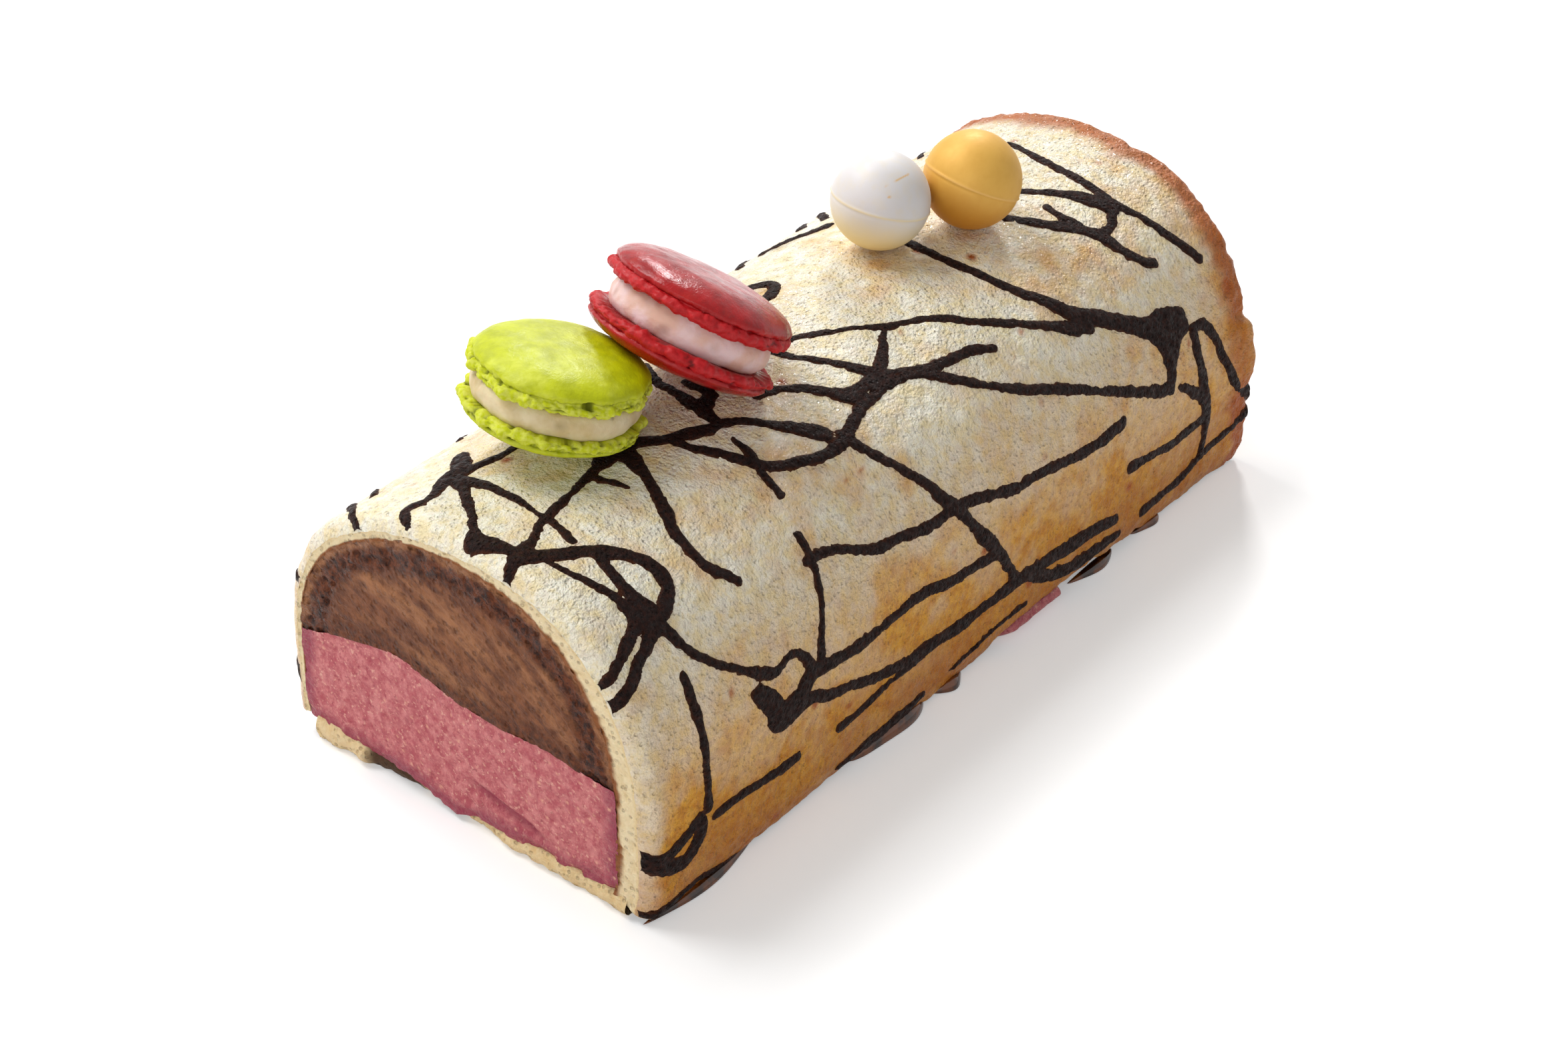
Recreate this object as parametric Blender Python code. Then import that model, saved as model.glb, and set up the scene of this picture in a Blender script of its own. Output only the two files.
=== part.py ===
"""Yule log cake: a sponge sheet wrapped over chocolate mousse and pink fruit mousse on a thin sponge base.

X runs along the log and the cut face is at -X. +Z is up and z = 0 is the underside. Two macarons and two
chocolate balls sit on top. Sizes below are in millimetres, and `mm` turns them into metres.
"""

import math

import bmesh
import bpy
import numpy as np
from mathutils import Vector

# ---- driving sizes, mm ----
LENGTH = 204.0  # cut face to far rim
FRONT_X = -LENGTH / 2
BACK_X = LENGTH / 2
HALF_WIDTH = (46.6, 47.6)  # at the cut face, at the far end
HEIGHT = (66.8, 69.2)
WALL_HEIGHT = (22.0, 16.5)  # where the upright wall turns into the arch
LEAN = (-3.0, -1.0)  # sideways shift of the crown
ARCH_POWER = 2.24
RIM_FLARE = 0.4  # the far end opens out by this much
FOOT_TUCK = 1.6  # the walls turn in by this much at the foot
FOOT_TUCK_HEIGHT = 7.0
WALL_THICKNESS = 6.4
WALL_SKEW = 2.2  # thicker on the -Y side, thinner on +Y
CROWN_THIN = 1.3
GAP = 0.3  # left between touching pieces

EDGE_LOW = 0.4  # lower edge of the -Y wall
EDGE_LIFT = 3.8  # and where it is lifted off the base
LIFT_START, LIFT_END = 8.0, 42.0
LEFT_EDGE_FRONT = 4.6  # lower edge of the +Y wall at the cut face
LEFT_EDGE = 1.2

BASE_THICKNESS = 3.2
BASE_HALF_WIDTH = 38.2
BASE_INSET = 2.2  # set back from the cut face
TOE_REACH = 43.4  # the pink mousse squeezed out under the lifted edge

LAYER_HEIGHT = 28.6  # chocolate over pink
LAYER_SWELL = 3.6

RED_CENTRE = (-37.9, -1.6, 82.8)
RED_TILT, RED_TURN = 33.0, -13.0
RED_RADIUS, RED_FILLING_RADIUS, RED_FILLING = 18.6, 16.2, 6.7
RED_DOMES = (5.4, 3.9)  # top shell, lower shell

GREEN_CENTRE = (-65.5, 7.4, 77.3)
GREEN_TILT, GREEN_TURN = 15.0, -16.0
GREEN_RADIUS, GREEN_FILLING_RADIUS, GREEN_FILLING = 17.0, 16.4, 5.7
GREEN_DOMES = (4.6, 3.0)

SHELL_FOOT = 2.2  # the frilled foot of a shell
LOWER_FOOT = 1.7

BALL_RADIUS = 10.4
BALL_SEAM = 0.2
WHITE_CENTRE = (29.4, 4.2)
GOLD_CENTRE = (48.4, -5.4)
WHITE_LEAN, GOLD_LEAN = 14.0, 24.0  # how far the seam is tipped


def mm(value):
    return value * 0.001


def along(pair, x):
    """A size that changes evenly from the cut face to the far end."""
    t = (x - FRONT_X) / LENGTH
    return pair[0] + (pair[1] - pair[0]) * t


def smooth(edge0, edge1, x):
    t = min(max((x - edge0) / (edge1 - edge0), 0.0), 1.0)
    return t * t * (3.0 - 2.0 * t)


def unevenness(x, angle):
    """Hand-laid sponge is never quite straight."""
    wave = 0.35 * math.sin(x / 17.0 + 2.0 * angle)
    return wave + 0.25 * math.sin(x / 41.0 - 3.0 * angle + 1.0)


def outer_point(x, angle):
    """The outside of the arch, angle 0 at the top of the -Y wall and pi at the top of the +Y wall."""
    half, height = along(HALF_WIDTH, x), along(HEIGHT, x)
    wall, lean = along(WALL_HEIGHT, x), along(LEAN, x)
    c, s = math.cos(angle), math.sin(angle)
    flare = RIM_FLARE * smooth(BACK_X - 14.0, BACK_X, x)
    side = (half + flare) * math.copysign(abs(c) ** (2.0 / ARCH_POWER), c)
    up = max(s, 0.0) ** (2.0 / ARCH_POWER)
    bump = unevenness(x, angle) * up
    y = -side + lean * s * s * s * s
    z = wall + (height - wall) * up + bump
    return y, z


def section(x, steps, inset=0.0):
    """Outer and inner outlines of the sponge at x, from the -Y foot over the crown to the +Y foot."""
    walls = 5
    low = [right_edge(x), left_edge(x)]
    wall = along(WALL_HEIGHT, x)
    arch = [outer_point(x, math.pi * i / steps) for i in range(steps + 1)]
    angles = [math.pi * i / steps for i in range(steps + 1)]
    outer = []
    for i in range(walls):
        z = low[0] + (wall - low[0]) * i / walls
        outer.append((arch[0][0] + tuck(z), z, 0.0))
    outer += [(p[0], p[1], a) for p, a in zip(arch, angles)]
    for i in range(walls - 1, -1, -1):
        z = low[1] + (wall - low[1]) * i / walls
        outer.append((arch[-1][0] - tuck(z), z, math.pi))
    inner = []
    for i, (y, z, angle) in enumerate(outer):
        a, b = outer[max(i - 1, 0)], outer[min(i + 1, len(outer) - 1)]
        normal = Vector((-(b[1] - a[1]), b[0] - a[0])).normalized()
        crown = CROWN_THIN * math.exp(-(((angle - 1.66) / 0.38) ** 2))
        t = WALL_THICKNESS + WALL_SKEW * math.cos(angle) - crown + inset
        if i < walls:
            inner.append((arch[0][0] + t, z))
        elif i >= len(outer) - walls:
            inner.append((arch[-1][0] - t, z))
        else:
            inner.append((y - normal.x * t, z - normal.y * t))
    return [(p[0], p[1]) for p in outer], inner


def tuck(z):
    return FOOT_TUCK * max(0.0, 1.0 - z / FOOT_TUCK_HEIGHT) ** 2


def right_edge(x):
    lift = smooth(LIFT_START - 5.0, LIFT_START, x)
    lift -= 0.5 * smooth(LIFT_END, LIFT_END + 4.0, x)
    lift -= 0.5 * smooth(58.0, 66.0, x)
    return EDGE_LOW + EDGE_LIFT * lift


def left_edge(x):
    t = smooth(FRONT_X, FRONT_X + 40.0, x)
    return LEFT_EDGE_FRONT + (LEFT_EDGE - LEFT_EDGE_FRONT) * t


def layer_height(x, y):
    """Where the chocolate mousse meets the pink."""
    z = LAYER_HEIGHT + LAYER_SWELL * math.exp(-(((y - 17.0) / 12.0) ** 2))
    z += 0.9 * math.exp(-(((y + 22.0) / 7.0) ** 2)) - 2.6 * math.exp(-(((y - 43.0) / 7.0) ** 2))
    return z + 0.5 * math.sin((x - FRONT_X) / 23.0) * math.cos(y / 14.0)


def stations(extra=()):
    xs = {round(FRONT_X + LENGTH * i / 16, 3) for i in range(17)}
    return sorted(xs | set(extra))


def add_object(name, vertices, faces, colour, smooth_shade=True):
    mesh = bpy.data.meshes.new(name)
    mesh.from_pydata([tuple(mm(c) for c in v) for v in vertices], [], faces)
    bm = bmesh.new()
    bm.from_mesh(mesh)
    bmesh.ops.triangulate(bm, faces=bm.faces)
    bmesh.ops.recalc_face_normals(bm, faces=bm.faces)
    bm.to_mesh(mesh)
    bm.free()
    for polygon in mesh.polygons:
        polygon.use_smooth = smooth_shade
    material = bpy.data.materials.new(name)
    material.use_nodes = True
    material.node_tree.nodes["Principled BSDF"].inputs["Base Color"].default_value = (*colour, 1.0)
    mesh.materials.append(material)
    piece = bpy.data.objects.new(name, mesh)
    bpy.context.scene.collection.objects.link(piece)
    return piece


def loft(name, rings, colour):
    """A solid through closed outlines of equal length, each a list of (x, y, z)."""
    count = len(rings[0])
    vertices = [p for ring in rings for p in ring]
    faces = []
    for i in range(len(rings) - 1):
        for j in range(count):
            k = (j + 1) % count
            faces.append((i * count + j, i * count + k, (i + 1) * count + k, (i + 1) * count + j))
    faces.append(tuple(range(count)))
    last = (len(rings) - 1) * count
    faces.append(tuple(last + j for j in reversed(range(count))))
    return add_object(name, vertices, faces, colour)


def sponge_wrap():
    xs = stations((3.0, 8.0, 42.0, 46.0, 58.0, 66.0, 96.0))
    rings, pairs = [], 0
    for x in xs:
        outer, inner = section(x, 18)
        pairs = len(outer)
        rings.append([(x, y, z) for y, z in outer] + [(x, y, z) for y, z in inner])
    count = 2 * pairs
    vertices = [p for ring in rings for p in ring]
    faces = []
    for i in range(len(xs) - 1):
        a, b = i * count, (i + 1) * count
        for j in range(pairs - 1):
            faces.append((a + j, a + j + 1, b + j + 1, b + j))
            faces.append((a + pairs + j + 1, a + pairs + j, b + pairs + j, b + pairs + j + 1))
        for j in (0, pairs - 1):
            faces.append((a + j, b + j, b + pairs + j, a + pairs + j))
    for a in (0, (len(xs) - 1) * count):
        for j in range(pairs - 1):
            faces.append((a + j, a + pairs + j, a + pairs + j + 1, a + j + 1))
    add_object("sponge_wrap", vertices, faces, (0.86, 0.72, 0.46))


def inside(x):
    """The hollow of the sponge, less the gap, as heights over y and half widths over z."""
    _, inner = section(x, 60, GAP)
    points = np.array(inner)
    crown = int(np.argmax(points[:, 1]))
    return points[: crown + 1], points[crown:]


def chocolate_mousse():
    rings = []
    for x in stations():
        right, left = inside(x)
        outline = np.vstack([right, left[1:]])
        y0 = float(np.interp(layer_height(x, right[0, 0]) + 1.0, right[:, 1], right[:, 0]))
        y1 = float(np.interp(layer_height(x, left[-1, 0]) + 1.0, left[::-1, 1], left[::-1, 0]))
        ys = [y0 + (y1 - y0) * 0.5 * (1.0 - math.cos(math.pi * i / 18)) for i in range(19)]
        order = np.argsort(outline[:, 0])
        tops = [float(np.interp(y, outline[order, 0], outline[order, 1])) for y in ys]
        ring = []
        for y, top in zip(ys, tops):
            ring.append((x, y, max(top, layer_height(x, y) + 0.6)))
        for y in reversed(ys):
            ring.append((x, y, layer_height(x, y) + GAP / 2))
        rings.append(ring)
    loft("chocolate_mousse", rings, (0.22, 0.10, 0.05))


def toe(x):
    return smooth(LIFT_START + 2.0, LIFT_START + 9.0, x) - smooth(LIFT_END - 11.0, LIFT_END - 3.0, x)


def between(p, q, t):
    return tuple(a + (b - a) * t for a, b in zip(p, q))


def pink_mousse():
    rings = []
    bottom = BASE_THICKNESS + GAP
    for x in stations((3.0, 8.0, 12.0, 17.0, 24.0, 31.0, 35.0, 39.0, 42.0)):
        right, left = inside(x)
        b = toe(x)
        wall_y = float(np.interp(bottom + 0.9, right[:, 1], right[:, 0]))
        under = right_edge(x) - GAP - 0.1
        ring = [
            (x, *between((wall_y + 1.6, bottom), (wall_y + 3.6, bottom), b)),
            (x, *between((wall_y + 1.2, bottom), (wall_y + 3.3, 0.35), b)),
            (x, *between((wall_y + 0.5, bottom + 0.1), (1.0 - TOE_REACH, 0.35), b)),
            (x, *between((wall_y + 0.1, bottom + 0.3), (-TOE_REACH, 1.4), b)),
            (x, *between((wall_y, bottom + 0.5), (-TOE_REACH, min(under, 3.5)), b)),
            (x, *between((wall_y, bottom + 0.9), (wall_y, min(under, 3.5)), b)),
        ]
        top_y0 = layer_height(x, wall_y) - GAP / 2
        for i in range(1, 4):
            z = bottom + 0.9 + (top_y0 - bottom - 0.9) * i / 4
            ring.append((x, float(np.interp(z, right[:, 1], right[:, 0])), z))
        y0 = float(np.interp(top_y0, right[:, 1], right[:, 0]))
        z_left = layer_height(x, left[-1, 0]) - GAP / 2
        y1 = float(np.interp(z_left, left[::-1, 1], left[::-1, 0]))
        for i in range(19):
            y = y0 + (y1 - y0) * i / 18
            ring.append((x, y, layer_height(x, y) - GAP / 2))
        low = max(left_edge(x) + 0.2, bottom + 0.8)
        for i in range(1, 4):
            z = z_left + (low - z_left) * i / 3
            ring.append((x, float(np.interp(z, left[::-1, 1], left[::-1, 0])), z))
        ring.append((x, ring[-1][1] - 0.8, bottom))
        rings.append(ring)
    loft("pink_mousse", rings, (0.62, 0.16, 0.22))


def base_sponge():
    rings = []
    xs = stations((3.0, 8.0, 9.9, 12.0, 17.0, 31.0, 35.0, 39.1, 42.0))
    xs[0] += BASE_INSET
    xs[-1] -= BASE_INSET
    for x in xs:
        b = min(1.0, 8.0 * toe(x))
        right = -BASE_HALF_WIDTH + 0.7 + 4.6 * b
        left = BASE_HALF_WIDTH - 0.3 * math.sin(x / 19.0) - 0.3
        steps = 4
        ring = []
        for i in range(steps + 1):
            y = right + (left - right) * i / steps
            ring.append((x, y, 0.0))
        for i in range(steps, -1, -1):
            y = right + (left - right) * i / steps
            ring.append((x, y, BASE_THICKNESS))
        rings.append(ring)
    loft("base_sponge", rings, (0.80, 0.62, 0.36))


def lathe(name, profile, centre, axis, segments, colour, frill=0.0):
    """A solid turned about `axis` through `centre`, from (radius, height) pairs, both ends on the axis."""
    turn = Vector((0.0, 0.0, 1.0)).rotation_difference(Vector(axis))
    vertices = [profile[0]] + [profile[-1]]
    ends = [Vector((0.0, 0.0, profile[0][1])), Vector((0.0, 0.0, profile[-1][1]))]
    points = [turn @ p + Vector(centre) for p in ends]
    body = profile[1:-1]
    for radius, height in body:
        for j in range(segments):
            a = 2.0 * math.pi * j / segments
            r = radius * (1.0 + frill * math.sin(5.0 * a + 1.0) * 0.5 + frill * math.sin(11.0 * a) * 0.5)
            points.append(turn @ Vector((r * math.cos(a), r * math.sin(a), height)) + Vector(centre))
    faces = []
    for j in range(segments):
        k = (j + 1) % segments
        faces.append((0, 2 + k, 2 + j))
        last = 2 + (len(body) - 1) * segments
        faces.append((1, last + j, last + k))
        for i in range(len(body) - 1):
            a, b = 2 + i * segments, 2 + (i + 1) * segments
            faces.append((a + j, a + k, b + k, b + j))
    vertices = [tuple(p) for p in points]
    return add_object(name, vertices, faces, colour)


def shell_profile(radius, foot, dome, sign, start):
    """The flat inside face, the frilled foot, then the domed shell."""
    profile = [(0.0, start), (radius * 0.94, start), (radius, start + sign * 0.5)]
    profile.append((radius * 0.995, start + sign * foot * 0.75))
    profile.append((radius * 0.955, start + sign * foot))
    rows = 5
    for i in range(1, rows):
        t = 0.5 * math.pi * i / rows
        r = radius * 0.95 * math.cos(t) ** 0.75
        profile.append((r, start + sign * (foot + dome * math.sin(t))))
    profile.append((0.0, start + sign * (foot + dome)))
    return profile


def filling_profile(radius, height):
    half = height / 2 - GAP
    rows = ((0.0, -1.0), (0.90, -1.0), (0.985, -0.55), (1.0, 0.0), (0.985, 0.55), (0.90, 1.0), (0.0, 1.0))
    return [(radius * r, half * h) for r, h in rows]


def macaron(name, centre, tilt, turn, radius, filling_radius, filling, domes, shell_colour, filling_colour):
    t, u = math.radians(tilt), math.radians(turn)
    axis = (math.sin(t) * math.cos(u), math.sin(t) * math.sin(u), math.cos(t))
    top = shell_profile(radius, SHELL_FOOT, domes[0], 1.0, filling / 2)
    low = shell_profile(radius, LOWER_FOOT, domes[1], -1.0, -filling / 2)
    lathe(name + "_top", top, centre, axis, 28, shell_colour, 0.006)
    lathe(name + "_base", low, centre, axis, 28, shell_colour, 0.006)
    middle = filling_profile(filling_radius, filling)
    lathe(name + "_filling", middle, centre, axis, 28, filling_colour)


def crown_height(x, y):
    """The top of the sponge at (x, y)."""
    outer, _ = section(x, 120)
    points = np.array(outer)
    order = np.argsort(points[:, 0])
    return float(np.interp(y, points[order, 0], points[order, 1]))


def ball(name, place, lean, colour):
    x, y = place
    clear = BALL_RADIUS + GAP
    height = max(
        crown_height(x, y + clear * math.sin(a)) + clear * math.cos(a)
        for a in (math.radians(d) for d in range(-60, 61, 3))
    )
    profile = [(0.0, -BALL_RADIUS)]
    rows = 14
    for i in range(1, rows):
        t = math.pi * i / rows
        seam = BALL_SEAM if i == rows // 2 else 0.0
        profile.append(((BALL_RADIUS + seam) * math.sin(t), -(BALL_RADIUS + seam) * math.cos(t)))
    profile.append((0.0, BALL_RADIUS))
    t = math.radians(lean)
    lathe(name, profile, (x, y, height), (math.sin(t), -0.3 * math.sin(t), math.cos(t)), 24, colour)


def main():
    for old in list(bpy.data.objects):
        bpy.data.objects.remove(old, do_unlink=True)
    sponge_wrap()
    chocolate_mousse()
    pink_mousse()
    base_sponge()
    macaron("green_macaron", GREEN_CENTRE, GREEN_TILT, GREEN_TURN, GREEN_RADIUS, GREEN_FILLING_RADIUS,
            GREEN_FILLING, GREEN_DOMES, (0.55, 0.60, 0.05), (0.75, 0.62, 0.40))
    macaron("red_macaron", RED_CENTRE, RED_TILT, RED_TURN, RED_RADIUS, RED_FILLING_RADIUS,
            RED_FILLING, RED_DOMES, (0.55, 0.05, 0.05), (0.80, 0.55, 0.50))
    ball("white_ball", WHITE_CENTRE, WHITE_LEAN, (0.85, 0.82, 0.76))
    ball("gold_ball", GOLD_CENTRE, GOLD_LEAN, (0.80, 0.50, 0.12))


main()
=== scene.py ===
"""Looks of the yule log cake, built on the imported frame. Sizes are in millimetres until a mesh is made."""

import math

import bpy
import numpy as np
from mathutils import Matrix, Vector

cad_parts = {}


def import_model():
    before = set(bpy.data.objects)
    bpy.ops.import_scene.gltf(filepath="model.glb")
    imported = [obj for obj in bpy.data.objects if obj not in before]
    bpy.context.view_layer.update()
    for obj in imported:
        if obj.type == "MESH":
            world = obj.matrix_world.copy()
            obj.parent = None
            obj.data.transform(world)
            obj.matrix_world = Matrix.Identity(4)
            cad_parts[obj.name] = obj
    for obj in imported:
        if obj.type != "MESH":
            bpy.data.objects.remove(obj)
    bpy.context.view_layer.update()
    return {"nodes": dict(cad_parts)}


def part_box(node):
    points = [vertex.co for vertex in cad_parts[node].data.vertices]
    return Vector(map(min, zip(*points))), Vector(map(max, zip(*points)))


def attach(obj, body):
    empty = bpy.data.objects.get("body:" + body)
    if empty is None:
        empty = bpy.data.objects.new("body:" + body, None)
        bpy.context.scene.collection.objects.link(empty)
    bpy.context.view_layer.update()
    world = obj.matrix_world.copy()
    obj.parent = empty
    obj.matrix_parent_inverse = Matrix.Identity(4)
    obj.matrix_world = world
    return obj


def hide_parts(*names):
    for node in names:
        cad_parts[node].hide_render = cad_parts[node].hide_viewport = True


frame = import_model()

# ---- sizes shared with the solids, mm ----
LENGTH = 204.0
FRONT, BACK = -102.0, 102.0
HALF_WIDTH = (46.6, 47.6)
HEIGHT = (66.8, 69.2)
WALL_HEIGHT = (22.0, 16.5)
LEAN = (-3.0, -1.0)
POWER = 2.24
TUCK, TUCK_HEIGHT = 1.6, 7.0
LAYER_HEIGHT, LAYER_SWELL = 28.6, 3.6

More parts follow.
